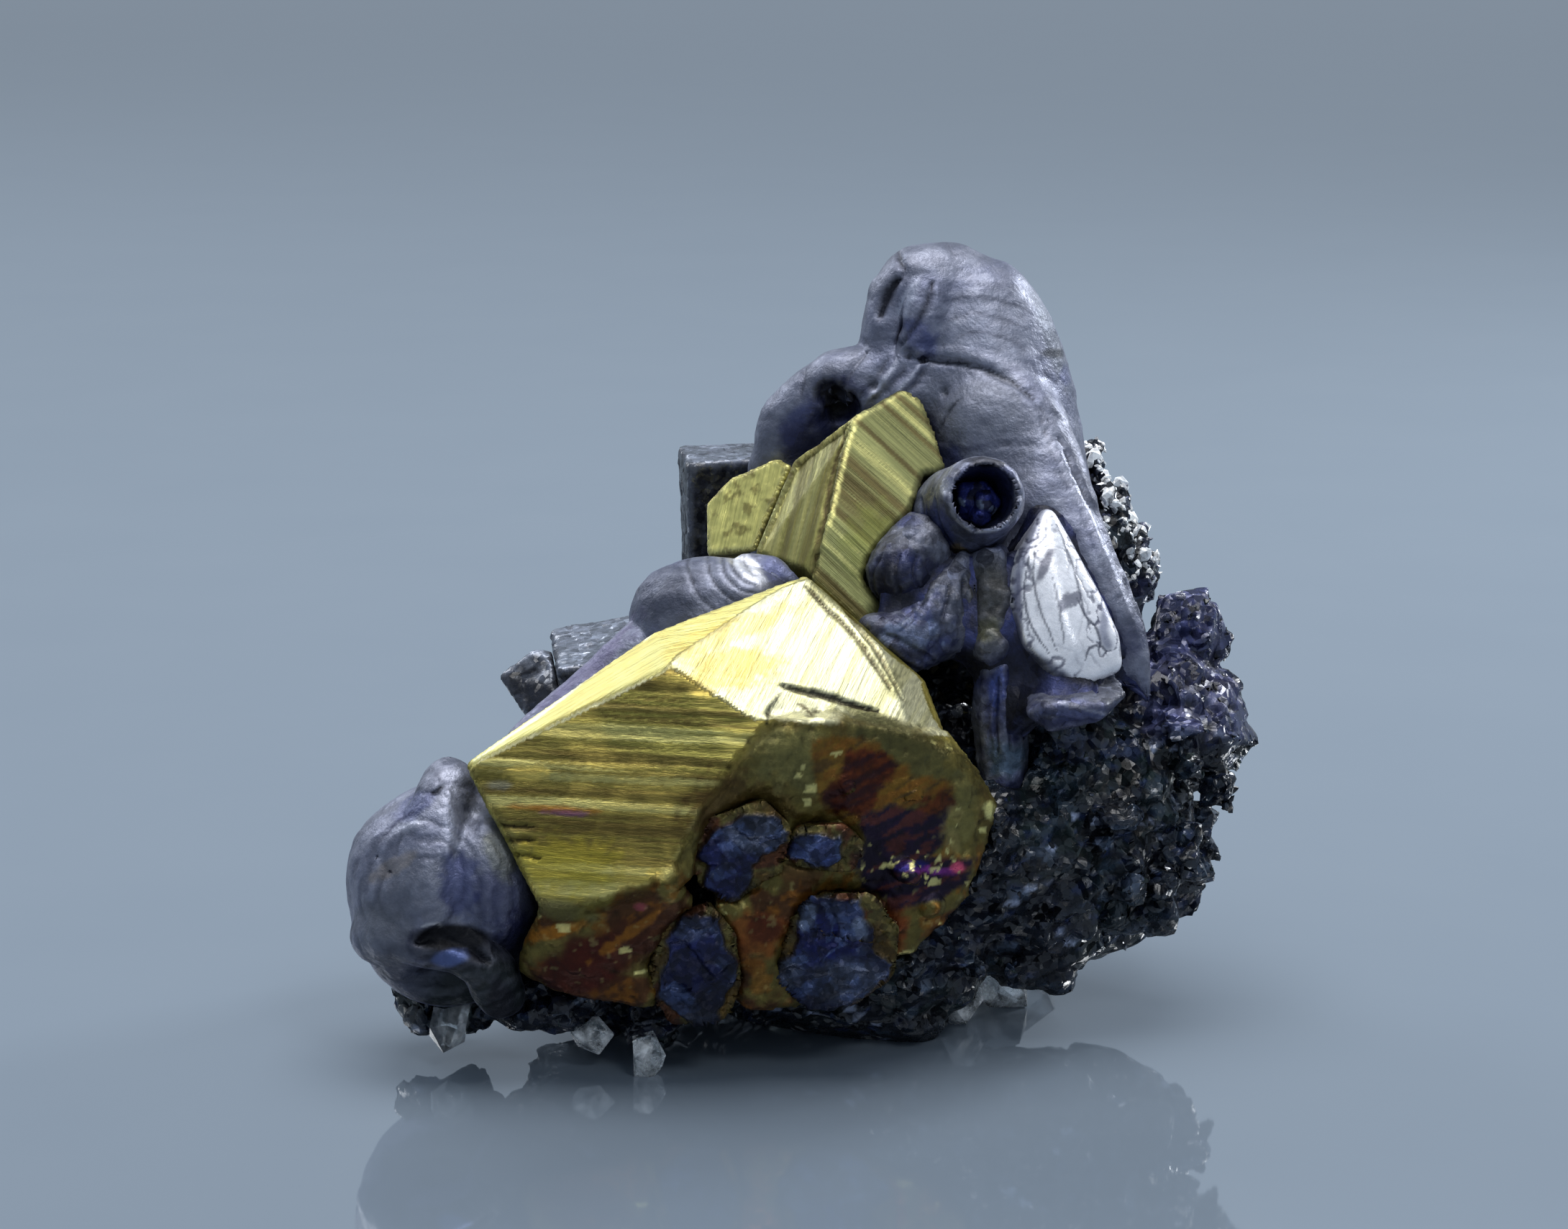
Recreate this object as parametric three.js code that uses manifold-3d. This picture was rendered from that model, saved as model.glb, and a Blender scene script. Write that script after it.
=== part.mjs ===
// A natural specimen of smooth, rolled galena with two striated chalcopyrite crystals, black
// sphalerite and a quartz underside. Millimetres, +Z up, +X to the right as seen from the front,
// +Y to the rear. The origin is under the middle of the specimen, on the surface it rests on.

import * as THREE from 'three';
import Module from 'manifold-3d';
import { ConvexGeometry } from 'three/addons/geometries/ConvexGeometry.js';
import { LoftGeometry } from 'three/addons/geometries/LoftGeometry.js';
import { mergeVertices } from 'three/addons/utils/BufferGeometryUtils.js';

const wasm = await Module();
wasm.setup();

// Driving dimensions, in millimetres.
const SEAM_GAP = 0.3; // free space left where two crystals meet
const SKIN = SEAM_GAP * 1.4; // how far a neighbour's corners swell before it is cut away, to leave the gap
const CUTTER_SHARE = 0.6; // sides of a swollen copy, as a share of the piece's own
const LUMP_OUTSIDE = 1.04; // swells a coarser lump until it holds the finer one
const SMALLEST_PIECE = 0.5; // cubic millimetres; offcuts are dropped
const HORN_RADIUS = 4.9; // rear galena horn at its root
const SHOULDER_RADIUS = 2.3; // grooved ridge to the left of the horn
const SPINE_RADIUS = 1.6; // each strip of the double spine
const TUBE_RADIUS = 2.15; // open tube, outside, at its mouth
const TUBE_BORE_RADIUS = 1.75;
const BALL_RADII = [5.3, 5.3, 5.9]; // rolled lump at the far left
const PATCH_DEPTH = 2.6; // how deep the cleavage patches are set
const TOOTH_SIZE = 1.5; // jagged blocks on the sphalerite
const GRAIN_SIZE = 1.15; // druse grains at the right rear
const QUARTZ_RADIUS = 1.5; // crystals of the underside

const GALENA = { color: 0x6f7186, roughness: 0.34, metalness: 0.85 };
const GALENA_BRIGHT = { color: 0xa9acbb, roughness: 0.2, metalness: 0.9 };
const GALENA_BLUE = { color: 0x3b4a86, roughness: 0.4, metalness: 0.8 };
const GALENA_CLEAVED = { color: 0x3c4b6a, roughness: 0.25, metalness: 0.8 };
const CHALCOPYRITE = { color: 0xb5a24e, roughness: 0.32, metalness: 0.85 };
const SPHALERITE = { color: 0x1b1f28, roughness: 0.35, metalness: 0.3 };
const DARK_CRYSTAL = { color: 0x33353f, roughness: 0.35, metalness: 0.5 };
const QUARTZ = { color: 0xc6ccd2, roughness: 0.1, metalness: 0 };

// A repeatable source of numbers from 0 to 1.
function chance(seed) {
  let state = seed * 7919 + 17;
  return () => {
    state = (state * 16807) % 2147483647;
    return state / 2147483647;
  };
}

// Turns a closed three.js geometry into a solid that can be joined and cut.
function solid(geometry) {
  const bare = new THREE.BufferGeometry().copy(geometry);
  bare.deleteAttribute('normal');
  bare.deleteAttribute('uv');
  const merged = mergeVertices(bare, 1e-4);
  const mesh = new wasm.Mesh({
    numProp: 3,
    vertProperties: new Float32Array(merged.attributes.position.array),
    triVerts: new Uint32Array(merged.index.array),
  });
  return new wasm.Manifold(mesh);
}

function join(parts) {
  return parts.reduce((whole, part) => whole.add(part));
}

// A crystal with flat faces between the given corners. A skin swells it about its middle.
function crystal(corners, skin) {
  const points = corners.map((corner) => new THREE.Vector3(...corner));
  const middle = new THREE.Vector3();
  points.forEach((point) => middle.addScaledVector(point, 1 / points.length));
  points.forEach((point) => {
    const away = point.clone().sub(middle).normalize();
    point.addScaledVector(away, skin * 1.3);
  });
  return solid(new ConvexGeometry(points));
}

// A smooth rounded limb along stations of [x, y, z, half width, half depth]. Width is measured
// across the view and depth along it. Flutes are shallow grooves that run the limb's length. The
// swollen copy that cuts a neighbour has fewer sides, set outside the limb's own.
function limb(stations, { sides = 12, steps = 8, flutes = 0, fluteDepth = 0, upright = false }, skin) {
  const around = skin > 0 ? Math.max(6, Math.round(sides * CUTTER_SHARE)) : sides;
  const outside = skin > 0 ? 1 / Math.cos(Math.PI / around) : 1;
  const centres = stations.map((s) => new THREE.Vector3(s[0], s[1], s[2]));
  const path = new THREE.CatmullRomCurve3(centres, false, 'centripetal');
  const sizes = stations.map((s, i) => new THREE.Vector3(i, s[3], s[4] ?? s[3]));
  const girth = new THREE.CatmullRomCurve3(sizes, false, 'centripetal');
  const reference = upright ? new THREE.Vector3(0, 0, 1) : new THREE.Vector3(0, 1, 0);
  const sections = [];
  const ring = (centre, tangent, width, depth) => {
    const deep = reference.clone().addScaledVector(tangent, -reference.dot(tangent)).normalize();
    const wide = new THREE.Vector3().crossVectors(deep, tangent);
    const points = [];
    for (let i = 0; i < around; i += 1) {
      const angle = (i / around) * Math.PI * 2;
      const groove = outside * (1 - fluteDepth * Math.max(0, Math.sin(angle * flutes)));
      const point = centre.clone();
      point.addScaledVector(wide, Math.cos(angle) * width * groove);
      point.addScaledVector(deep, Math.sin(angle) * depth * groove);
      points.push(point);
    }
    sections.push(points);
  };
  const roundEnd = (t, way, order) => {
    const centre = path.getPoint(t);
    const tangent = path.getTangent(t);
    const size = girth.getPoint(t);
    order.forEach((turn) => {
      const reach = Math.sin(turn) * Math.min(size.y, size.z) * 0.8;
      const end = centre.clone().addScaledVector(tangent, way * (reach + skin));
      ring(end, tangent, size.y * Math.cos(turn) + skin, size.z * Math.cos(turn) + skin);
    });
  };
  roundEnd(0, -1, [1.25, 0.7]);
  for (let i = 0; i <= steps; i += 1) {
    const t = i / steps;
    const size = girth.getPoint(t);
    ring(path.getPoint(t), path.getTangent(t), size.y + skin, size.z + skin);
  }
  roundEnd(1, 1, [0.7, 1.25]);
  return solid(new LoftGeometry(sections, { capStart: true, capEnd: true }));
}

// A rounded lump whose surface swells and dips by a share of its size.
function lump(centre, radii, detail, swell, phase, skin) {
  const outside = skin > 0 ? LUMP_OUTSIDE : 1;
  const geometry = new THREE.IcosahedronGeometry(outside, skin > 0 ? Math.max(1, detail - 1) : detail);
  const position = geometry.attributes.position;
  for (let i = 0; i < position.count; i += 1) {
    const x = position.getX(i);
    const y = position.getY(i);
    const z = position.getZ(i);
    const wave = Math.sin(3.1 * x + phase) * Math.sin(2.7 * y + 2 * phase) + Math.sin(4.3 * z - phase);
    const stretch = 1 + swell * wave * 0.5;
    position.setXYZ(
      i,
      centre[0] + x * (radii[0] * stretch + skin),
      centre[1] + y * (radii[1] * stretch + skin),
      centre[2] + z * (radii[2] * stretch + skin),
    );
  }
  return solid(geometry);
}

// A rough block: flat faces between random corners of a stretched ball.
function crag(centre, radii, corners, seed, skin) {
  const next = chance(seed);
  const points = [];
  for (let i = 0; i < corners; i += 1) {
    const height = 1 - (2 * (i + 0.5)) / corners;
    const around = i * 2.399963 + next() * 0.9;
    const ring = Math.sqrt(1 - height * height);
    const reach = 0.86 + 0.2 * next();
    points.push([
      centre[0] + Math.cos(around) * ring * radii[0] * reach,
      centre[1] + Math.sin(around) * ring * radii[1] * reach,
      centre[2] + height * radii[2] * reach,
    ]);
  }
  return crystal(points, skin);
}

// A small turned block, for teeth, grains and cubes.
function block(centre, size, turn, skin) {
  const geometry = new THREE.BoxGeometry(size[0] + 2 * skin, size[1] + 2 * skin, size[2] + 2 * skin);
  geometry.applyMatrix4(new THREE.Matrix4().makeRotationFromEuler(new THREE.Euler(...turn)));
  geometry.translate(...centre);
  return solid(geometry);
}

// A six-sided quartz crystal with a pointed end, from its root along a direction.
function quartzCrystal(root, direction, length, radius, skin) {
  const axis = new THREE.Vector3(...direction).normalize();
  const base = new THREE.Vector3(...root);
  const helper = new THREE.Vector3(0.3, 0.8, 0.2);
  const u = new THREE.Vector3().crossVectors(axis, helper).normalize();
  const v = new THREE.Vector3().crossVectors(axis, u);
  const corners = [base.clone().addScaledVector(axis, length).toArray()];
  [0, length * 0.68].forEach((along) => {
    for (let i = 0; i < 6; i += 1) {
      const angle = (i / 6) * Math.PI * 2;
      const point = base.clone().addScaledVector(axis, along);
      point.addScaledVector(u, Math.cos(angle) * radius);
      point.addScaledVector(v, Math.sin(angle) * radius);
      corners.push(point.toArray());
    }
  });
  return crystal(corners, skin);
}

// The rear horn, the dome before it, the grooved shoulder and the double spine, grown as one.
function galenaMain(skin) {
  const root = HORN_RADIUS;
  const horn = limb(
    [
      [12.2, 8.2, 26, root, root * 1.1],
      [11.0, 8.8, 32.0, root, root * 1.04],
      [10.3, 9.5, 36.0, root * 0.97, root * 0.94],
      [9.2, 10.0, 38.8, root * 0.84, root * 0.8],
      [8.0, 10.1, 40.4, root * 0.58, root * 0.56],
    ],
    { sides: 12, steps: 5 },
    skin,
  );
  const nose = limb(
    [
      [7.6, 9.4, 41.3, 1.6, 2.2],
      [5.6, 9.0, 41.0, 1.6, 2.2],
      [4.6, 8.6, 38.8, 1.1, 2],
      [4.6, 8.2, 36, 1.2, 2],
    ],
    { sides: 7, steps: 4 },
    skin,
  );
  const innerFold = limb(
    [[7.4, 7.2, 40.7, 0.8, 0.9], [6.8, 6.6, 39.2, 0.9, 1], [6.1, 6.2, 37.3, 0.8, 0.9]],
    { sides: 6, steps: 2 },
    skin,
  );
  const dome = limb(
    [[11.4, 9, 27, 4.9, 5.6], [11.2, 6.3, 31.2, 4.2, 4.4], [10.9, 5.6, 33.4, 3.5, 3.7]],
    { sides: 11, steps: 3 },
    skin,
  );
  const shoulder = limb(
    [
      [9.0, 8, 34, SHOULDER_RADIUS * 1.2],
      [5.2, 7.6, 34.9, SHOULDER_RADIUS],
      [1.8, 7.8, 34.8, SHOULDER_RADIUS],
      [-0.6, 8.4, 32.8, SHOULDER_RADIUS * 0.85],
      [-1.6, 8.6, 29.6, SHOULDER_RADIUS * 0.75],
      [-1.6, 8.2, 25, SHOULDER_RADIUS * 0.75],
    ],
    { sides: 8, steps: 5 },
    skin,
  );
  const rightSpine = limb(
    [
      [12.6, 4.4, 33.2, 2.3],
      [14.2, 2.0, 30.6, SPINE_RADIUS * 1.1],
      [15.6, -1.2, 26.8, SPINE_RADIUS],
      [17.4, -3.0, 22.8, SPINE_RADIUS],
      [19.4, -3.8, 18.8, SPINE_RADIUS * 0.8],
    ],
    { sides: 6, steps: 6 },
    skin,
  );
  const leftSpine = limb(
    [
      [12.6, 2.8, 31.2, SPINE_RADIUS],
      [13.8, -0.8, 28.0, SPINE_RADIUS * 0.85],
      [15.6, -3.0, 24.2, SPINE_RADIUS * 0.8],
      [17.2, -4.4, 20.4, SPINE_RADIUS * 0.6],
    ],
    { sides: 6, steps: 4 },
    skin,
  );
  const core = lump([11.2, 4.4, 26], [5.4, 5.6, 5.6], 1, 0.06, 1, skin);
  const bridge = limb(
    [[9, 9.4, 29, 3.6], [3, 9.8, 30, 3.4], [0.6, 9.4, 29.4, 2.6]],
    { sides: 8, steps: 2 },
    skin,
  );
  const whole = join([horn, nose, innerFold, dome, shoulder, rightSpine, leftSpine, core, bridge]);
  if (skin > 0) {
    return whole;
  }
  const slot = lump([5.5, 6.3, 39.4], [0.6, 1.5, 1.6], 0, 0, 0, 0);
  const hollow = lump([1.6, 5.6, 33.4], [1.6, 2.1, 1.9], 0, 0, 0, 0);
  return grooves().reduce((body, groove) => body.subtract(groove), whole.subtract(slot).subtract(hollow));
}

// Diagonal grooves that run over the shoulder.
function grooves() {
  const cuts = [];
  for (let i = 0; i < 3; i += 1) {
    cuts.push(block([2.4 + i * 1.6, 6.0, 36.7], [0.35, 5, 1.0], [0.15, 0.45, 0.2], 0));
  }
  return cuts;
}

function openTube(skin) {
  const wall = limb(
    [
      [9.9, -4.2, 30.8, TUBE_RADIUS],
      [9.4, -2.6, 29.9, TUBE_RADIUS * 1.08],
      [8.8, -0.8, 29.0, TUBE_RADIUS * 1.22],
      [8.6, 0.8, 28.4, TUBE_RADIUS * 1.2],
    ],
    { sides: 12, steps: 3, upright: true },
    skin,
  );
  if (skin > 0) {
    return wall;
  }
  const bore = limb(
    [[10.1, -6.0, 31.2, TUBE_BORE_RADIUS * 1.04], [9.8, -4.2, 30.7, TUBE_BORE_RADIUS], [9.4, -2.6, 30, 1.3]],
    { sides: 10, steps: 2, upright: true },
    0,
  );
  return wall.subtract(bore);
}

// Small crystals that line the back of the open tube.
function tubeCrust(skin) {
  const next = chance(5);
  const bits = [crag([9.55, -2.9, 30.15], [1.15, 0.7, 1.15], 11, 3, skin)];
  for (let i = 0; i < 4; i += 1) {
    const angle = i * 2.4;
    const out = 0.3 + 0.2 * i;
    const centre = [9.6 + Math.cos(angle) * out, -3.5 - 0.3 * next(), 30.3 + Math.sin(angle) * out];
    bits.push(block(centre, [0.5, 0.7, 0.45], [next() * 3, next() * 3, next() * 3], skin));
  }
  return join(bits);
}

function stubTube(skin) {
  const stations = [[5.1, -3.9, 26.2, 1.7], [6.2, -3.0, 27.2, 1.75], [7.8, -1.6, 28.4, 1.7]];
  return limb(stations, { sides: 10, steps: 3 }, skin);
}

// The flared foot below the stub, with the olive lobe and its knob on the right.
function flaredTube(skin) {
  const foot = limb(
    [
      [8.4, -2.6, 26.3, 1.7, 1.6],
      [8.0, -4.2, 24.4, 1.9, 1.7],
      [6.6, -5.4, 22.9, 1.9, 1.5],
      [4.6, -5.8, 23.0, 1.3, 1.2],
      [3.6, -5.8, 23.4, 0.8, 0.9],
    ],
    { sides: 8, steps: 5 },
    skin,
  );
  const lobe = limb(
    [[10.3, -3.6, 27.2, 0.9], [10.5, -4.6, 25, 1.15], [10.2, -5.4, 22.8, 0.85]],
    { sides: 6, steps: 2 },
    skin,
  );
  const knob = lump([10.3, -5.9, 22.6], [0.9, 0.9, 0.9], 0, 0, 0, skin);
  return join([foot, lobe, knob]);
}

// The bright teardrop face, slightly bulged, with a round of growth steps.
function wedge(skin) {
  const rim = [
    [13.6, -2.4, 29.4],
    [12.0, -4.7, 27.3],
    [11.5, -5.6, 25.4],
    [12.3, -6.9, 23.0],
    [13.8, -7.6, 21.4],
    [15.6, -7.4, 20.9],
    [17.3, -6.5, 21.5],
    [17.1, -6.0, 23.1],
    [16.4, -5.2, 24.6],
    [15.0, -4.3, 26.6],
  ];
  const bulge = [[14.2, -6.6, 24.6], [13.9, -5.4, 26.4], [14.8, -7.3, 22.9]];
  const back = rim.map((corner) => [corner[0] * 0.9 + 1.3, corner[1] + 4, corner[2] * 0.9 + 2.2]);
  return crystal([...rim, ...bulge, ...back], skin);
}

function shelf(skin) {
  const blade = [
    [12.2, -9.4, 19.6],
    [13.2, -10.0, 20.1],
    [16.4, -9.6, 20.0],
    [17.6, -8.2, 20.4],
    [16.2, -9.4, 19.3],
    [13.4, -9.8, 18.7],
    [12.8, -4.6, 20.5],
    [17.2, -4.6, 20.6],
    [14.6, -4.8, 18.9],
  ];
  return crystal(blade, skin);
}

function column(skin) {
  return limb(
    [[10.9, -4.8, 21.8, 1.3], [10.9, -5.6, 18.5, 1.45], [11.1, -6.4, 14.9, 1.2]],
    { sides: 8, steps: 2, flutes: 4, fluteDepth: 0.12 },
    skin,
  );
}

// The shell-like lobe with rounded steps, its tail and the small blue piece beside it.
function shellLobe(skin) {
  const steps = [0, 1, 2].map((i) => {
    const shrink = 1 - i * 0.22;
    const centre = [-5.6 + i * 1.1, -2.6 - i * 0.85, 22.9 + i * 0.75];
    return lump(centre, [4.3 * shrink, 3.8 * shrink, 3.7 * shrink], 2, 0.05, 2 + i, skin);
  });
  const tail = limb(
    [
      [-8.6, -3.4, 21.8, 1.9],
      [-11.6, -5.0, 19.8, 1.5],
      [-14.2, -6.4, 18.3, 1.1],
      [-16.0, -7.4, 17.2, 0.8],
    ],
    { sides: 7, steps: 3 },
    skin,
  );
  const blueBit = limb(
    [[-3.4, -2.6, 26.0, 0.9], [-2.0, -3.0, 25.9, 0.9], [-0.8, -3.2, 25.4, 0.8]],
    { sides: 6, steps: 2 },
    skin,
  );
  return join([...steps, tail, blueBit]);
}

// The rolled lump at the far left: a ball, a ridge that folds down from its knob, a folded arch
// over a hollow and a facet inside the hollow.
function ball(skin) {
  const body = lump([-20.2, -10.2, 9.5], BALL_RADII, 2, 0.07, 0.6, skin);
  const ridge = limb(
    [
      [-19.8, -10.4, 15.9, 1.3],
      [-20.2, -12.2, 14.9, 1.4],
      [-20.8, -14.2, 12.0, 1.5],
      [-20.6, -15.0, 9.6, 1.2],
    ],
    { sides: 6, steps: 4 },
    skin,
  );
  const arch = limb(
    [
      [-23.9, -12.6, 7.6, 1.3],
      [-22.4, -14.4, 8.4, 1.3],
      [-19.8, -15.2, 8.0, 1.3],
      [-17.6, -14.6, 6.4, 1.3],
      [-16.8, -13.4, 4.4, 1.1],
    ],
    { sides: 7, steps: 5 },
    skin,
  );
  const cheek = lump([-17.6, -12.6, 10.8], [2.9, 2.8, 3.6], 1, 0.05, 3, skin);
  const whole = join([body, ridge, arch, cheek]);
  if (skin > 0) {
    return whole;
  }
  const hollow = lump([-20.4, -15.2, 5.6], [2.4, 2.6, 1.5], 1, 0, 0, 0);
  const crease = block([-23.2, -14.2, 12.2], [2.2, 2.4, 0.35], [0.2, 0.5, 0.3], 0);
  return whole.subtract(hollow).subtract(crease);
}

// The four cleavage patches: flat fronts, narrower behind.
function patch(outline, front, skin) {
  const middleX = outline.reduce((sum, corner) => sum + corner[0], 0) / outline.length;
  const middleZ = outline.reduce((sum, corner) => sum + corner[1], 0) / outline.length;
  const face = outline.map(([x, z]) => [x, front + (z - middleZ) * -0.22, z]);
  const back = outline.map(([x, z]) => [
    middleX + (x - middleX) * 0.75,
    front + PATCH_DEPTH,
    middleZ + (z - middleZ) * 0.75,
  ]);
  return crystal([...face, ...back], skin);
}

function patchA(skin) {
  const outline = [
    [-6.3, 13.6], [-5.2, 15.4], [-2.4, 16.3], [-1.1, 15.0],
    [-1.7, 12.6], [-4.0, 10.9], [-5.8, 11.6],
  ];
  return patch(outline, -16.6, skin);
}

function patchB(skin) {
  const outline = [
    [-0.5, 14.5], [1.8, 14.7], [2.7, 13.8],
    [2.3, 12.4], [-0.2, 12.6], [-1.1, 13.2],
  ];
  return patch(outline, -16.0, skin);
}

function patchC(skin) {
  const outline = [
    [-8.3, 7.4], [-7.3, 9.9], [-5.4, 10.4], [-4.1, 8.8],
    [-3.8, 5.8], [-4.7, 3.9], [-7.4, 3.6], [-8.4, 5.4],
  ];
  return patch(outline, -16.2, skin);
}

function patchD(skin) {
  const outline = [
    [-0.6, 9.6], [0.8, 10.9], [3.4, 10.7], [4.9, 8.9],
    [4.6, 6.2], [2.6, 4.4], [0.2, 4.3], [-1.6, 6.2],
  ];
  const face = patch(outline, -15.4, skin);
  const step = block([2.0, -14.4, 9.6], [3.2, 3, 1.3], [0, 0.12, 0], skin);
  return join([face, step]);
}

// The big striated crystal and the broken, tarnished mass below and beside it.
function chalcopyriteFront(skin) {
  const corners = [
    [-18.6, -12.7, 17.5],
    [-7.3, -13.6, 23.3],
    [-8.4, -10.2, 24.2],
    [-0.1, -5.3, 26.3],
    [4.0, -8.6, 22.9],
    [6.4, -7.6, 20.9],
    [7.4, -9.8, 18.6],
    [5.6, -12.6, 19.0],
    [-2.4, -15.4, 20.6],
    [-4.2, -16.4, 18.6],
    [-7.9, -17.6, 12.2],
    [-14.2, -16.7, 10.3],
    [-16.0, -15.1, 14.2],
    [-13, -6, 13],
    [-2, -2, 20],
    [5, -4, 17],
    [4, -7, 13],
  ];
  const head = crystal(corners, skin);
  const brokenRight = crystal(
    [
      [-2.6, -15.8, 20.0],
      [5.5, -12.9, 19.3],
      [7.6, -10.2, 18.7],
      [9.2, -9.8, 16.6],
      [10.4, -10.4, 14.4],
      [9.2, -11.2, 10.6],
      [8.4, -11.6, 9.2],
      [5.6, -12.6, 6.8],
      [0.2, -14.0, 4.4],
      [-3.6, -14.6, 3.8],
      [-5.4, -16.0, 8.6],
      [-4.6, -16.2, 13.4],
      [-4, -6, 14],
      [7, -4.6, 15],
      [7, -6, 8],
      [-4, -8, 5],
    ],
    skin,
  );
  const brokenLeft = crystal(
    [
      [-14.4, -16.4, 10.4],
      [-16.0, -14.8, 6.4],
      [-12.4, -15.4, 4.8],
      [-9.4, -15.6, 5.2],
      [-6.4, -15.4, 4.2],
      [-4.6, -15.6, 9],
      [-7.6, -17.4, 12.2],
      [-12, -8, 8],
      [-6, -8, 6],
    ],
    skin,
  );
  if (skin > 0) {
    return join([head, brokenRight, brokenLeft]);
  }
  return join([head, brokenRight, brokenLeft, ...brokenKnobs()]).subtract(crack());
}

// Small broken corners over the tarnished mass.
function brokenKnobs() {
  const next = chance(21);
  const knobs = [];
  const rows = [
    [2, -14.6, 17.0], [5.6, -13.2, 16.2], [8.4, -11.2, 13.4], [8.6, -11.4, 11.8], [5.4, -13.4, 11.6],
    [6.8, -12.4, 9.4], [-10.6, -16.4, 9.0], [-12.6, -15.9, 7.2],
  ];
  rows.forEach((row) => {
    const size = [0.9 + next() * 0.9, 0.6 + next() * 0.5, 0.6 + next() * 0.8].map((half) => half * 0.9);
    knobs.push(crag(row, size, 6, 40 + knobs.length, 0));
  });
  return knobs;
}

// The open break under the bright top face.
function crack() {
  return block([1.4, -15.4, 20.9], [6.4, 1.6, 0.5], [0.45, 0.12, -0.32], 0);
}

function chalcopyriteRear(skin) {
  return crystal(
    [
      [5.6, 4.5, 35.2],
      [6.5, 4.2, 34.6],
      [8.0, 0.9, 31.0],
      [6.7, -1.4, 29.3],
      [4.4, -3.2, 27.0],
      [6.1, -3.2, 24.6],
      [3.1, -4.6, 23.6],
      [1.0, -2.6, 28.8],
      [2.7, 1.4, 34.0],
      [-0.5, 3.6, 31.2],
      [-2.7, -1.0, 26.9],
      [-0.3, -3.6, 26.6],
      [5, 8, 28],
      [-2, 6, 25],
      [7, 2, 23],
      [-2, 0, 22],
    ],
    skin,
  );
}

function chalcopyriteRearPlate(skin) {
  return crystal(
    [
      [-5.7, 6.2, 28.1],
      [-4.3, 6.2, 29.6],
      [-1.7, 5.4, 30.9],
      [-1.0, 4.9, 30.6],
      [-5.6, 4.4, 25.6],
      [-3.0, 3.2, 26.2],
      [-5.0, 8.2, 27.8],
      [-2.2, 7.8, 29.4],
      [-4.6, 7.4, 24.6],
    ],
    skin,
  );
}

function rearBlockTall(skin) {
  return block([-4.9, 15.0, 24.2], [4.6, 5.0, 10.6], [0.02, -0.02, 0.12], skin);
}

function rearBlockRound(skin) {
  const stations = [[-1.0, 15.2, 25, 1.9], [-1.6, 15.6, 28.4, 1.7], [-1.7, 15.8, 30.8, 1.3]];
  return limb(stations, { sides: 7, steps: 1 }, skin);
}

function rearPlateUpper(skin) {
  return block([-11.6, 8.4, 18.6], [6.4, 8.6, 1.7], [0.06, -0.16, 0.1], skin);
}

function rearPlateLower(skin) {
  return crystal(
    [
      [-18.2, 8.6, 17.2],
      [-16.2, 9.2, 18.6],
      [-13.0, 9.6, 18.0],
      [-16.6, 7.0, 15.2],
      [-12.6, 4.4, 14.6],
      [-12.0, 5.0, 16.6],
      [-17.0, 11.4, 16.4],
      [-12.4, 12.4, 15.2],
    ],
    skin,
  );
}

function clearCrystal(skin) {
  return quartzCrystal([-19.7, -10.6, 3.6], [-0.12, -0.62, -0.62], 3.6, 1.15, skin);
}

function footA(skin) {
  return crag([-8.9, -13.6, 1.1], [1.1, 1.1, 1.5], 11, 61, skin);
}

function footB(skin) {
  return crag([-12.0, -12.6, 2.0], [1.3, 1.1, 1.2], 11, 62, skin);
}

// The underside: a lens of quartz with crystals that point down and outwards.
function quartzUnderside(skin) {
  const next = chance(9);
  const parts = [crag([4, 2.5, 3.0], [11, 7.5, 2.4], 18, 71, skin)];
  for (let i = 0; i < 11; i += 1) {
    const angle = i * 2.399963;
    const out = Math.sqrt((i + 0.7) / 11);
    const root = [4 + Math.cos(angle) * out * 9, 2.5 + Math.sin(angle) * out * 6.2, 2.6];
    const lean = [Math.cos(angle) * out * 1.5, Math.sin(angle) * out * 1.5, -0.55 - 0.5 * next()];
    parts.push(quartzCrystal(root, lean, 2.6 + next() * 2.4, QUARTZ_RADIUS * (0.7 + 0.5 * next()), skin));
  }
  return join(parts);
}

// The black mass: crags that carry everything else, with jagged teeth over the open sides.
function sphaleriteMass(skin) {
  const bodies = [
    crag([16.0, -0.4, 12.2], [7.6, 8.0, 8.8], 24, 1, skin),
    crag([20.4, 1.4, 17.0], [5.8, 6.4, 5.0], 20, 2, skin),
    crag([22.2, 2.8, 21.2], [2.9, 3.6, 3.2], 12, 3, skin),
    crag([11.0, -3.6, 10.5], [7.6, 7.0, 8.8], 20, 4, skin),
    crag([2.0, -4.6, 5.0], [11.5, 8.4, 6.2], 20, 5, skin),
    crag([-10.0, -6.0, 6.4], [8.4, 7.4, 7.6], 18, 6, skin),
    crag([2.0, 7.0, 13.6], [13, 8.4, 13.2], 22, 7, skin),
    crag([-7.5, 6.6, 11.0], [8.8, 8.8, 9.4], 20, 8, skin),
    crag([15.8, 9.2, 21], [5.4, 5.2, 12.0], 18, 9, skin),
    crag([-8.6, -12.2, 2.7], [1.9, 2.0, 2.6], 10, 12, skin),
    crag([-20.2, -9.4, 3.4], [3.6, 3.4, 2.5], 14, 10, skin),
    crag([-14.6, -11.6, 3.6], [4.2, 3.0, 2.4], 12, 11, skin),
  ];
  if (skin > 0) {
    return join(bodies);
  }
  return join([...bodies, ...teeth(), ...druse()]);
}

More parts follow.
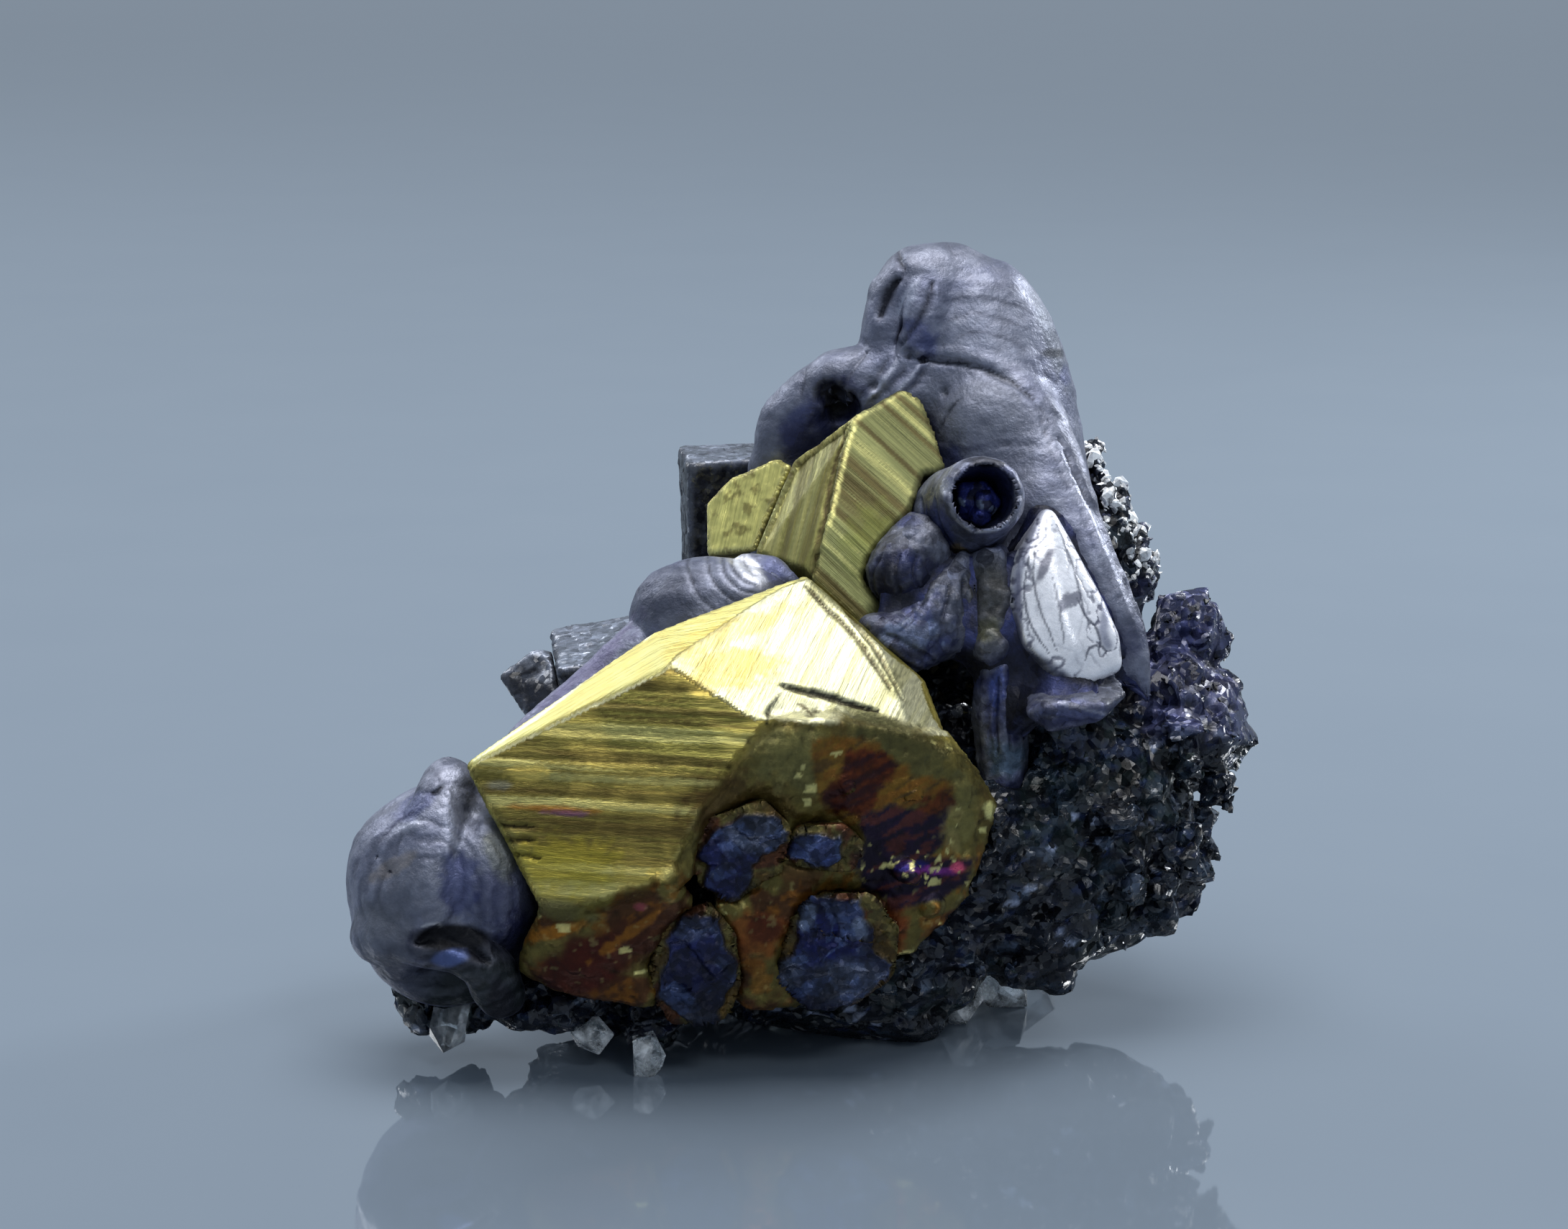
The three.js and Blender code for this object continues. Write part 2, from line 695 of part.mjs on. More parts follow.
// Jagged blocks on the right-hand and lower faces.
function teeth() {
  const next = chance(33);
  const list = [];
  for (let row = 0; row < 6; row += 1) {
    for (let place = 0; place < 5; place += 1) {
      const around = -2.1 + place * 0.58 + 0.2 * next();
      const up = -0.8 + row * 0.28 + 0.1 * next();
      const level = Math.cos(up);
      const centre = [
        16.2 + row * 0.25 + Math.cos(around) * level * 7.0,
        -0.6 + Math.sin(around) * level * 7.4,
        12.6 + Math.sin(up) * 8.2,
      ];
      const size = [0.8 + next() * 0.7, 0.8 + next() * 0.6, 0.6 + next() * 0.6].map((s) => s * TOOTH_SIZE);
      list.push(crag(centre, size, 6, 100 + list.length, 0));
    }
  }
  return list;
}

// Glittering grains up the right rear wall.
function druse() {
  const next = chance(77);
  const grains = [];
  for (let i = 0; i < 24; i += 1) {
    const along = i / 23;
    const centre = [
      14.6 + along * 5.8 + next() * 1.4 - 0.7,
      8.0 + next() * 4.4,
      32.6 - along * 9.0 - next() * 2.2,
    ];
    const size = GRAIN_SIZE * (0.9 + next() * 0.9);
    grains.push(crag(centre, [size, size, size], 6, 200 + grains.length, 0));
  }
  return grains;
}

// Everything below the surface that the specimen rests on.
function floorCutter() {
  return block([0, 0, -20], [120, 120, 40], [0, 0, 0], 0);
}

// Front and smooth pieces come first and keep their form; each later one is cut to fit them.
const PIECES = [
  ['chalcopyrite_front', chalcopyriteFront, CHALCOPYRITE],
  ['galena_patch_a', patchA, GALENA_CLEAVED],
  ['galena_patch_b', patchB, GALENA_CLEAVED],
  ['galena_patch_c', patchC, GALENA_CLEAVED],
  ['galena_patch_d', patchD, GALENA_CLEAVED],
  ['galena_ball', ball, GALENA],
  ['galena_open_tube', openTube, GALENA],
  ['tube_crust', tubeCrust, GALENA_BLUE],
  ['galena_stub_tube', stubTube, GALENA],
  ['galena_flared_tube', flaredTube, GALENA_BLUE],
  ['galena_wedge', wedge, GALENA_BRIGHT],
  ['galena_shelf', shelf, GALENA_BLUE],
  ['galena_column', column, GALENA_BLUE],
  ['chalcopyrite_rear', chalcopyriteRear, CHALCOPYRITE],
  ['chalcopyrite_rear_plate', chalcopyriteRearPlate, CHALCOPYRITE],
  ['galena_shell_lobe', shellLobe, GALENA],
  ['galena_main', galenaMain, GALENA],
  ['rear_block_tall', rearBlockTall, DARK_CRYSTAL],
  ['rear_block_round', rearBlockRound, DARK_CRYSTAL],
  ['rear_plate_upper', rearPlateUpper, DARK_CRYSTAL],
  ['rear_plate_lower', rearPlateLower, DARK_CRYSTAL],
  ['quartz_clear_crystal', clearCrystal, QUARTZ],
  ['quartz_foot_a', footA, QUARTZ],
  ['quartz_foot_b', footB, QUARTZ],
  ['quartz_underside', quartzUnderside, QUARTZ],
  ['sphalerite_mass', sphaleriteMass, SPHALERITE],
];

// The patches are set in the front crystal, so they are cut out of it rather than it out of them.
const SET_IN = { chalcopyrite_front: [patchA, patchB, patchC, patchD] };
const NOT_CUT_BY = {
  galena_patch_a: [chalcopyriteFront],
  galena_patch_b: [chalcopyriteFront],
  galena_patch_c: [chalcopyriteFront],
  galena_patch_d: [chalcopyriteFront],
  tube_crust: [openTube],
};

function largest(body) {
  const bits = body.decompose().filter((bit) => bit.volume() > SMALLEST_PIECE);
  return bits.sort((a, b) => b.volume() - a.volume())[0];
}

function boxesMeet(a, b) {
  const first = a.boundingBox();
  const second = b.boundingBox();
  return [0, 1, 2].every((i) => first.min[i] < second.max[i] && second.min[i] < first.max[i]);
}

const grown = new Map(PIECES.map(([, build]) => [build, build(SKIN)]));

function fitted(index) {
  const [name, build] = PIECES[index];
  const earlier = PIECES.slice(0, index).map((piece) => piece[1]);
  const skip = NOT_CUT_BY[name] ?? [];
  const cutters = [...earlier.filter((other) => !skip.includes(other)), ...(SET_IN[name] ?? [])];
  let body = build(0);
  cutters.forEach((other) => {
    if (boxesMeet(body, grown.get(other))) {
      body = body.subtract(grown.get(other));
    }
  });
  return largest(body.subtract(floorCutter()));
}

function toGeometry(body) {
  const mesh = body.getMesh();
  const geometry = new THREE.BufferGeometry();
  geometry.setAttribute('position', new THREE.BufferAttribute(mesh.vertProperties, 3));
  geometry.setIndex(new THREE.BufferAttribute(mesh.triVerts, 1));
  geometry.computeVertexNormals();
  return geometry;
}

const group = new THREE.Group();
PIECES.forEach(([name, , look], index) => {
  const mesh = new THREE.Mesh(toGeometry(fitted(index)), new THREE.MeshStandardMaterial(look));
  mesh.name = name;
  group.add(mesh);
});

// Stand the specimen on the surface with the middle of its box over the origin.
const box = new THREE.Box3().setFromObject(group);
const middle = box.getCenter(new THREE.Vector3());
group.position.set(-middle.x, -middle.y, -box.min.z);

export default group;
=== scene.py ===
import itertools
import math

import bmesh
import bpy
import numpy as np
from mathutils import Euler, Matrix, Vector
from mathutils.bvhtree import BVHTree


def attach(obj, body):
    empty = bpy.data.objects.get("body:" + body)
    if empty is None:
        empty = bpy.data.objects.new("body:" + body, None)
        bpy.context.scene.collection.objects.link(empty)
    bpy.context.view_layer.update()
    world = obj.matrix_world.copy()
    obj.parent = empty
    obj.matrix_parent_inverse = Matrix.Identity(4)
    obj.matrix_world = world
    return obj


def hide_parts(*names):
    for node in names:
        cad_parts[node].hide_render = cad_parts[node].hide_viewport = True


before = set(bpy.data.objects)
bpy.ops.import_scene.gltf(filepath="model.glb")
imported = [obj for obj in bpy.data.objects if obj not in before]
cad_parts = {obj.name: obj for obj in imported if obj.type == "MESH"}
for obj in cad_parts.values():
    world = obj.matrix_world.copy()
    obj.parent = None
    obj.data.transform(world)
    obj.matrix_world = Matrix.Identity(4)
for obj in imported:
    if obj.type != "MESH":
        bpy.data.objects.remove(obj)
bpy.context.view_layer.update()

# A galena specimen. Shapes are worked out in millimetres and written in metres.
MM = 0.001
COARSER = 1.0

# The camera of the photograph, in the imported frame's millimetres
FRAME_SHIFT = np.array([-0.3311, -0.1310, 0.0])
CAMERA_TILT = math.radians(13)
CAMERA_DISTANCE = 230.0
PIXEL_MM = 0.0413  # one photo pixel at that distance
PHOTO_CENTRE = (1090, 854)
AIM = np.array([-1.3, 0.0, 23.0]) + FRAME_SHIFT
TO_CAMERA = np.array([0.0, -math.cos(CAMERA_TILT), math.sin(CAMERA_TILT)])
CAMERA_UP = np.array([0.0, math.sin(CAMERA_TILT), math.cos(CAMERA_TILT)])
EYE = AIM + CAMERA_DISTANCE * TO_CAMERA

GRID_STEPS = np.array([374761393, 668265263, 1442695041])
SEAM = 0.17  # each piece swells by this, which closes the CAD's seams


# Noise and shaping

def scrambled(n):
    """Numbers from 0 to 1 that look random, one for each whole number."""
    n = n.astype(np.uint32)
    n ^= n >> np.uint32(13)
    n *= np.uint32(1274126177)
    n ^= n >> np.uint32(15)
    n *= np.uint32(2246822519)
    n ^= n >> np.uint32(16)
    return n.astype(np.float64) / 0xFFFFFFFF


def chance(cell, seed):
    """A repeatable number from 0 to 1 for each cell of a grid."""
    return scrambled(cell @ GRID_STEPS + seed * 974711)


def noise(p, seed=0):
    """Smooth noise from 0 to 1, with features one unit across."""
    cell = np.floor(p).astype(np.int64)
    f = p - cell
    f = f * f * (3 - 2 * f)
    start = cell @ GRID_STEPS + seed * 974711
    ends = [(1 - f[:, k], f[:, k]) for k in range(3)]
    total = np.zeros(len(p))
    for i, j, k in itertools.product((0, 1), repeat=3):
        total += ends[0][i] * ends[1][j] * ends[2][k] * scrambled(start + np.array((i, j, k)) @ GRID_STEPS)
    return total


def layered(p, octaves=4, seed=0):
    """Noise from 0 to 1 with finer noise added to it."""
    total = np.zeros(len(p))
    for k in range(octaves):
        total += noise(p * 2 ** k + 7.31 * k, seed + k) * 0.5 ** k
    return total / (2 - 0.5 ** (octaves - 1))


def uneven(p, octaves, seed):
    """The same around nought, from -0.5 to 0.5."""
    return layered(p, octaves, seed) - 0.5


def cells(p, seed):
    """The nearest of many scattered points: its cell, and the way from it."""
    base = np.floor(p - 0.5).astype(np.int64)
    nearest = np.full(len(p), np.inf)
    owner = base.copy()
    way = np.zeros_like(p)
    for step in itertools.product((0, 1), repeat=3):
        cell = base + np.array(step)
        point = cell + 0.15 + 0.7 * np.stack([chance(cell, seed + k) for k in range(3)], axis=1)
        d = np.sqrt(((p - point) ** 2).sum(axis=1))
        closer = d < nearest
        nearest = np.where(closer, d, nearest)
        owner[closer] = cell[closer]
        way[closer] = (p - point)[closer]
    return owner, way


def facets(p, size, seed, tilt=1.0):
    """Heights in mm of flat, tilted faces about one size across, and a number from 0 to 1 for each face."""
    owner, way = cells(p / size, seed)
    lean = np.stack([chance(owner, seed + 11 + k) for k in range(3)], axis=1) - 0.5
    return (way * lean).sum(axis=1) * size * tilt, chance(owner, seed + 20)


def smoothstep(low, high, value):
    t = np.clip((value - low) / (high - low), 0, 1)
    return t * t * (3 - 2 * t)


def colour(red, green, blue):
    """A linear colour from its 0 to 255 screen values."""
    def linear(c):
        c /= 255
        return c / 12.92 if c <= 0.04045 else ((c + 0.055) / 1.055) ** 2.4
    return np.array([linear(c) for c in (red, green, blue)])


def in_photo(points):
    """The photo pixel of each point."""
    away = points - EYE
    depth = -(away @ TO_CAMERA)
    scale = PIXEL_MM / CAMERA_DISTANCE
    x = PHOTO_CENTRE[0] + away[:, 0] / depth / scale
    y = PHOTO_CENTRE[1] - (away @ CAMERA_UP) / depth / scale
    return np.stack([x, y], axis=1)


def curve(points, step=7.0):
    """A smooth line through photo pixels, in short steps."""
    p = np.array(points, dtype=float)
    if len(p) == 2:
        return p
    p = np.vstack([2 * p[0] - p[1], p, 2 * p[-1] - p[-2]])
    out = []
    for a, b, c, d in zip(p, p[1:], p[2:], p[3:]):
        count = max(2, int(np.linalg.norm(c - b) / step))
        for t in np.arange(count) / count:
            out.append(0.5 * (2 * b + (c - a) * t + (2 * a - 5 * b + 4 * c - d) * t ** 2
                              + (3 * b - a - 3 * c + d) * t ** 3))
    out.append(p[-2])
    return np.array(out)


def distance_to(line, xy):
    """The distance of each pixel to a line, and how far along the line it is, from 0 to 1."""
    best = np.full(len(xy), np.inf)
    along = np.zeros(len(xy))
    for k, (a, b) in enumerate(zip(line, line[1:])):
        ab = b - a
        t = np.clip((xy - a) @ ab / max(ab @ ab, 1e-9), 0, 1)
        d = np.linalg.norm(xy - a - t[:, None] * ab, axis=1)
        closer = d < best
        best = np.where(closer, d, best)
        along[closer] = (k + t[closer]) / (len(line) - 1)
    return best, along


# How fine each piece's mesh is: the step between its points in mm
MESH_STEPS = {
    "galena_main": 0.22,
    "galena_ball": 0.155,
    "tube_crust": 0.07,
    "galena_open_tube": 0.11,
    "galena_stub_tube": 0.11,
    "galena_flared_tube": 0.12,
    "galena_shelf": 0.11,
    "galena_column": 0.11,
    "galena_shell_lobe": 0.14,
    "galena_wedge": 0.1,
    "galena_patch_a": 0.095,
    "galena_patch_b": 0.095,
    "galena_patch_c": 0.095,
    "galena_patch_d": 0.095,
    "chalcopyrite_front": 0.155,
    "chalcopyrite_rear": 0.155,
    "chalcopyrite_rear_plate": 0.11,
    "sphalerite_mass": 0.29,
    "rear_block_tall": 0.16,
    "rear_block_round": 0.16,
    "rear_plate_upper": 0.16,
    "rear_plate_lower": 0.16,
}
FILLET_STEP = 0.38


class Skin:
    """A fine mesh made from CAD nodes, shaped and painted as arrays, then written as one piece."""

    def __init__(self, nodes, step, bridge=0.0):
        """With a bridge, gaps narrower than about twice that are filled by smooth fillets."""
        self.nodes = nodes
        bm = bmesh.new()
        for node in nodes:
            bm.from_mesh(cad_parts[node].data)
        bmesh.ops.remove_doubles(bm, verts=bm.verts, dist=1e-7)
        bmesh.ops.scale(bm, vec=(1 / MM,) * 3, verts=bm.verts)
        rough = bpy.data.meshes.new("rough")
        bm.to_mesh(rough)
        bm.free()
        self.take(rough, step)
        if bridge:
            self.push(bridge)
            self.take(self.mesh, step)
            self.push(-bridge)
        self.smooth(3)

    def take(self, mesh, step):
        """Makes the mesh even and loads its arrays."""
        work = bpy.data.objects.new("work", mesh)
        bpy.context.scene.collection.objects.link(work)
        remesh = work.modifiers.new("Remesh", "REMESH")
        remesh.mode = "VOXEL"
        remesh.voxel_size = step * COARSER
        graph = bpy.context.evaluated_depsgraph_get()
        self.mesh = bpy.data.meshes.new_from_object(work.evaluated_get(graph))
        bpy.data.objects.remove(work)
        bpy.data.meshes.remove(mesh)
        self.n = len(self.mesh.vertices)
        co = np.empty(self.n * 3)
        self.mesh.vertices.foreach_get("co", co)
        self.co = co.reshape(-1, 3)
        edges = np.empty(len(self.mesh.edges) * 2, dtype=np.int32)
        self.mesh.edges.foreach_get("vertices", edges)
        self.edges = edges.reshape(-1, 2)
        self.degree = np.bincount(edges, minlength=self.n)
        self.paint = np.zeros((self.n, 4))
        self.grain = np.zeros((self.n, 3))
        self.fields = {}
        self.look()

    def mean(self, values):
        """Each vertex's average over its neighbours."""
        a, b = self.edges.T
        flat = values.reshape(self.n, -1)
        out = np.empty_like(flat)
        for k in range(flat.shape[1]):
            out[:, k] = np.bincount(a, flat[b, k], self.n) + np.bincount(b, flat[a, k], self.n)
        return (out / self.degree[:, None]).reshape(values.shape)

    def smooth(self, rounds, hold=0.53):
        """Takes small steps off and keeps the size. A hold nearer to 0.5 takes larger steps off."""
        for _ in range(rounds):
            self.co += 0.5 * (self.mean(self.co) - self.co)
            self.co -= hold * (self.mean(self.co) - self.co)
        self.look()

    def soften(self, rounds, where=None):
        """Rounds edges off, everywhere or by a share."""
        share = 0.5 if where is None else 0.5 * where[:, None]
        for _ in range(rounds):
            self.co += share * (self.mean(self.co) - self.co)
        self.look()

    def relax(self, rounds, back):
        """Rounds broad facets off and pushes the surface back out by what it lost, in mm."""
        self.soften(rounds)
        self.push(back)

    def look(self):
        """Works out normals, photo pixels and which side faces the camera."""
        self.mesh.vertices.foreach_set("co", self.co.ravel())
        self.mesh.update()
        normal = np.empty(self.n * 3)
        self.mesh.vertex_normals.foreach_get("vector", normal)
        self.normal = normal.reshape(-1, 3)
        self.xy = in_photo(self.co)
        back = EYE - self.co
        back /= np.linalg.norm(back, axis=1)[:, None]
        self.facing = (self.normal * back).sum(axis=1)
        self.front = smoothstep(0.02, 0.25, self.facing)

    def push(self, amount):
        """Moves the surface outwards, in mm."""
        self.co += self.normal * np.asarray(amount).reshape(-1, 1)
        self.look()

    def field(self, number):
        """One of four noise fields, kept for broken edges."""
        key = number % 4
        if key not in self.fields:
            self.fields[key] = uneven(self.co * (1.1 + 0.4 * key), 4, 500 + key)
        return self.fields[key]

    def line(self, points, width, wobble=0.0):
        """1 on a line in photo pixels, 0 at its width, thinner at its ends, on the camera's side."""
        xy = self.xy
        if wobble:
            xy = xy + np.stack([self.field(0), self.field(1)], axis=1) * wobble
        d, along = distance_to(curve(points), xy)
        taper = np.sqrt(np.clip(4 * along * (1 - along), 0.03, 1))
        return np.clip(1 - d / (width * taper), 0, 1) * self.front

    def carve(self, lines):
        """Grooves (depth below 0) and ridges in photo pixels: depth in mm, half width, points."""
        total = np.zeros(self.n)
        for depth, width, points in lines:
            mask = self.line(points, width, 5.0)
            total += depth * mask * mask * (3 - 2 * mask)
        self.push(total)

    def spot(self, x, y, rx, ry, turn=0.0, broken=0.5, seed=3):
        """1 inside an ellipse in photo pixels with a broken edge, on the camera's side."""
        a = math.radians(turn)
        u = (self.xy[:, 0] - x) * math.cos(a) + (self.xy[:, 1] - y) * math.sin(a)
        v = (self.xy[:, 1] - y) * math.cos(a) - (self.xy[:, 0] - x) * math.sin(a)
        d = np.hypot(u / rx, v / ry) + self.field(seed) * 2 * broken
        return (1 - smoothstep(0.6, 1.15, d)) * self.front

    def area(self, points, broken=12.0, edge=3.0, seed=1):
        """1 inside an outline in photo pixels with a broken edge, on the camera's side."""
        outline = np.array([*points, points[0]], dtype=float)
        xy = self.xy + broken * np.stack([self.field(seed), self.field(seed + 1)], axis=1)
        inside = np.zeros(self.n, dtype=bool)
        for (ax, ay), (bx, by) in zip(outline, outline[1:]):
            if ay != by:
                crossed = (ay > xy[:, 1]) != (by > xy[:, 1])
                inside ^= crossed & (xy[:, 0] < ax + (xy[:, 1] - ay) * (bx - ax) / (by - ay))
        d, _ = distance_to(outline, xy)
        return smoothstep(-edge, edge, np.where(inside, d, -d)) * self.front

    def colour(self, tone, mask=1.0, shine=None):
        """Lays a colour over the paint where the mask says. The fourth value is how shiny it is."""
        mask = np.asarray(mask) * np.ones(self.n)
        self.paint[:, :3] += (tone - self.paint[:, :3]) * mask[:, None]
        if shine is not None:
            self.paint[:, 3] += (shine - self.paint[:, 3]) * mask

    def bent(self, rounds=3):
        """Above 0 on edges and below 0 in hollows."""
        bend = -((self.mean(self.co) - self.co) * self.normal).sum(axis=1)
        for _ in range(rounds):
            bend = 0.5 * bend + 0.5 * self.mean(bend)
        return bend

    def write(self, name, material, slot, stands_for=True):
        """Writes the arrays to a piece of the object."""
        self.co[:, 2] = np.maximum(self.co[:, 2], 0.0)
        self.mesh.vertices.foreach_set("co", (self.co * MM).ravel())
        paint = self.mesh.attributes.new("paint", "FLOAT_COLOR", "POINT")
        paint.data.foreach_set("color", np.clip(self.paint, 0, 1).ravel())
        grain = self.mesh.attributes.new("grain", "FLOAT_VECTOR", "POINT")
        grain.data.foreach_set("vector", self.grain.ravel())
        self.mesh.name = name
        self.mesh.materials.clear()
        self.mesh.materials.append(material)
        self.mesh.shade_smooth()
        self.mesh.update()
        return place(bpy.data.objects.new(name, self.mesh), self.nodes if stands_for else ())


def fine_skin(node):
    """The skin of one node, with the mesh step that the table gives it."""
    return Skin([node], MESH_STEPS[node])


def place(piece, nodes=()):
    """Puts a piece in the scene, on the body and the CAD nodes that it stands for."""
    bpy.context.scene.collection.objects.link(piece)
    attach(piece, "root")
    if nodes:
        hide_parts(*nodes)
    return piece


# Materials

def add(tree, kind, inputs=None, **settings):
    """A node with its settings, its inputs set or linked."""
    node = tree.nodes.new(kind)
    for key, value in settings.items():
        setattr(node, key, value)
    for key, value in (inputs or {}).items():
        if isinstance(value, bpy.types.NodeSocket):
            tree.links.new(value, node.inputs[key])
        else:
            node.inputs[key].default_value = value
    return node


def grains(tree, vector, scale, detail, rough):
    """A noise value from 0 to 1 over the surface."""
    inputs = {"Vector": vector, "Scale": scale, "Detail": detail, "Roughness": rough}
    return add(tree, "ShaderNodeTexNoise", inputs).outputs[0]


def mapped(tree, value, low, high, new_low, new_high):
    inputs = {0: value, 1: low, 2: high, 3: new_low, 4: new_high}
    return add(tree, "ShaderNodeMapRange", inputs).outputs[0]


def times(tree, first, second):
    return add(tree, "ShaderNodeMath", {0: first, 1: second}, operation="MULTIPLY").outputs[0]


def plus(tree, first, second):
    return add(tree, "ShaderNodeMath", {0: first, 1: second}, operation="ADD").outputs[0]


def blended(tree, factor, first, second, blend="MIX"):
    """Two colours mixed by a factor."""
    node = add(tree, "ShaderNodeMix", None, data_type="RGBA", blend_type=blend)
    for socket, value in ((0, factor), (6, first), (7, second)):
        if isinstance(value, bpy.types.NodeSocket):
            tree.links.new(value, node.inputs[socket])
        else:
            node.inputs[socket].default_value = value
    return node.outputs[2]


def shattered(tree, where, scale, steep):
    """Small flat faces that each lean their own way: their heights in metres and a shade for each."""
    cell = add(tree, "ShaderNodeTexVoronoi", {"Vector": where, "Scale": scale})
    middle = cell.outputs["Position"]
    chosen = cell.outputs["Color"]
    offset = add(tree, "ShaderNodeVectorMath", {0: where, 1: middle}, operation="SUBTRACT").outputs[0]
    lean = add(tree, "ShaderNodeVectorMath", {0: chosen, 1: (0.5, 0.5, 0.5)}, operation="SUBTRACT").outputs[0]
    height = add(tree, "ShaderNodeVectorMath", {0: offset, 1: lean}, operation="DOT_PRODUCT")
    shade = add(tree, "ShaderNodeSeparateColor", {0: cell.outputs["Color"]}).outputs[2]
    return times(tree, height.outputs["Value"], steep), shade


def stone(name, metal, rough, smooth_rough, scale, bump, streak=(1.0, 1.0, 1.0), spread=0.25,
          on_grain=False, specular=0.5, faces=()):
    """A mineral surface: painted colour with fine grain, roughness by the paint's shine, and bump."""
    material = bpy.data.materials.new(name)
    material.use_nodes = True
    tree = material.node_tree
    shader = tree.nodes["Principled BSDF"]
    paint = add(tree, "ShaderNodeAttribute", None, attribute_name="paint")
    if on_grain:
        where = add(tree, "ShaderNodeAttribute", None, attribute_name="grain").outputs["Vector"]
        unit = 1.0
    else:
        where = add(tree, "ShaderNodeTexCoord").outputs["Object"]
        unit = 1 / MM
    turned = add(tree, "ShaderNodeMapping", {"Vector": where, "Scale": streak}).outputs[0]
    fine = grains(tree, turned, scale * unit, 5.0, 0.62)
    broad = grains(tree, turned, scale * unit * 0.22, 3.0, 0.5)
    speck = grains(tree, turned, scale * unit * 3.1, 2.0, 0.6)
    light = mapped(tree, fine, 0.3, 0.7, 1 - spread, 1 + spread)
    light = times(tree, light, mapped(tree, broad, 0.3, 0.7, 1 - spread * 0.6, 1 + spread * 0.6))
    normal = None
    for size, steep in faces:
        lean, shade = shattered(tree, where, unit / size, steep)
        inputs = {"Strength": 1.0, "Distance": 1.0, "Height": lean}
        if normal:
            inputs["Normal"] = normal
        normal = add(tree, "ShaderNodeBump", inputs).outputs[0]
        light = times(tree, light, mapped(tree, shade, 0.0, 1.0, 0.6, 1.5))
    grey = add(tree, "ShaderNodeCombineColor", {0: light, 1: light, 2: light}).outputs[0]
    base = blended(tree, 1.0, paint.outputs["Color"], grey, "MULTIPLY")
    tree.links.new(base, shader.inputs["Base Color"])
    gloss = mapped(tree, paint.outputs["Alpha"], 0.0, 1.0, rough, smooth_rough)
    gloss = times(tree, gloss, mapped(tree, speck, 0.3, 0.7, 0.8, 1.25))
    tree.links.new(gloss, shader.inputs["Roughness"])
    height = plus(tree, plus(tree, fine, times(tree, speck, 0.3)), times(tree, broad, 0.8))
    relief = add(tree, "ShaderNodeBump", {"Strength": 1.0, "Distance": bump * MM, "Height": height})
    if normal:
        tree.links.new(normal, relief.inputs["Normal"])
    tree.links.new(relief.outputs[0], shader.inputs["Normal"])
    shader.inputs["Metallic"].default_value = metal
    shader.inputs["Specular IOR Level"].default_value = specular
    return material


def crystal_glass(name, rough, tint, density, cloud):
    """See-through quartz: transmission, its own IOR and absorption, with a fine cloudy grain."""
    material = bpy.data.materials.new(name)
    material.use_nodes = True
    tree = material.node_tree
    shader = tree.nodes["Principled BSDF"]
    where = add(tree, "ShaderNodeTexCoord").outputs["Object"]
    veil = grains(tree, where, 0.9 / MM, 4.0, 0.6)
    fine = grains(tree, where, 5.0 / MM, 3.0, 0.6)
    white = blended(tree, mapped(tree, veil, 0.35, 0.7, 0.0, 1.0), (*tint, 1), (0.94, 0.95, 0.96, 1))
    tree.links.new(white, shader.inputs["Base Color"])
    tree.links.new(mapped(tree, fine, 0.3, 0.7, rough * 0.6, rough * 1.6), shader.inputs["Roughness"])
    tree.links.new(mapped(tree, veil, 0.42, 0.66, 1.0, 1.0 - cloud), shader.inputs["Transmission Weight"])
    relief = add(tree, "ShaderNodeBump", {"Strength": 0.6, "Distance": 0.03 * MM, "Height": fine})
    tree.links.new(relief.outputs[0], shader.inputs["Normal"])
    shader.inputs["IOR"].default_value = 1.544
    absorb = add(tree, "ShaderNodeVolumeAbsorption", {"Color": (*tint, 1), "Density": density})
    tree.links.new(absorb.outputs[0], tree.nodes["Material Output"].inputs["Volume"])
    return material


GALENA = stone("satin galena", 0.55, 0.6, 0.34, 1.5, 0.1, spread=0.17)
BRIGHT_GALENA = stone("bright galena", 0.3, 0.5, 0.25, 2.2, 0.03, spread=0.08)
BLUE_GALENA = stone("blue galena", 0.5, 0.6, 0.32, 2.4, 0.06, spread=0.35, faces=((0.7, 0.45),))
CLEAVED = stone("cleaved galena", 0.6, 0.5, 0.22, 2.4, 0.03, spread=0.3, faces=((1.0, 0.35), (0.35, 0.5)))
STREAK = (0.1, 7.0, 3.0)  # how much finer the grain runs along, across and into a striated face
BRASS = stone("striated chalcopyrite", 0.7, 0.52, 0.26, 1.0, 0.06, streak=STREAK, spread=0.3, on_grain=True)
BLACK = stone("black sphalerite", 0.15, 0.5, 0.12, 1.8, 0.03, spread=0.4, specular=0.6,
              faces=((1.5, 1.5), (0.45, 1.5)))
DARK = stone("dark crystal", 0.3, 0.5, 0.15, 2.2, 0.03, spread=0.3, faces=((1.2, 0.3), (0.4, 0.5)))
SPARKLE = stone("druse grains", 0.1, 0.3, 0.08, 2.0, 0.02, spread=0.2, faces=((0.3, 1.0),))
QUARTZ = crystal_glass("milky quartz", 0.22, (0.80, 0.84, 0.87), 120.0, 0.75)
CLEAR = crystal_glass("clear quartz", 0.05, (0.86, 0.91, 0.93), 40.0, 0.25)

# Colours
LILAC = colour(112, 116, 133)
LIT_LILAC = colour(168, 171, 188)
DUSK = colour(70, 74, 90)
SHADE_BLUE = colour(54, 62, 112)
DEEP_BLUE = colour(26, 31, 72)
NIGHT = colour(12, 14, 26)
SLATE = colour(66, 74, 94)
OLIVE = colour(138, 130, 62)
LEMON = colour(222, 214, 138)
PALE_GOLD = colour(243, 238, 194)
GOLD = colour(216, 190, 96)
OCHRE = colour(150, 96, 24)
BROWN = colour(72, 50, 18)
MAROON = colour(62, 18, 8)
VIOLET = colour(130, 50, 140)
GREY_OLIVE = colour(112, 110, 72)
BLACK_BLUE = colour(17, 21, 30)
GREEN_BLACK = colour(20, 34, 32)
STEEL = colour(140, 156, 186)


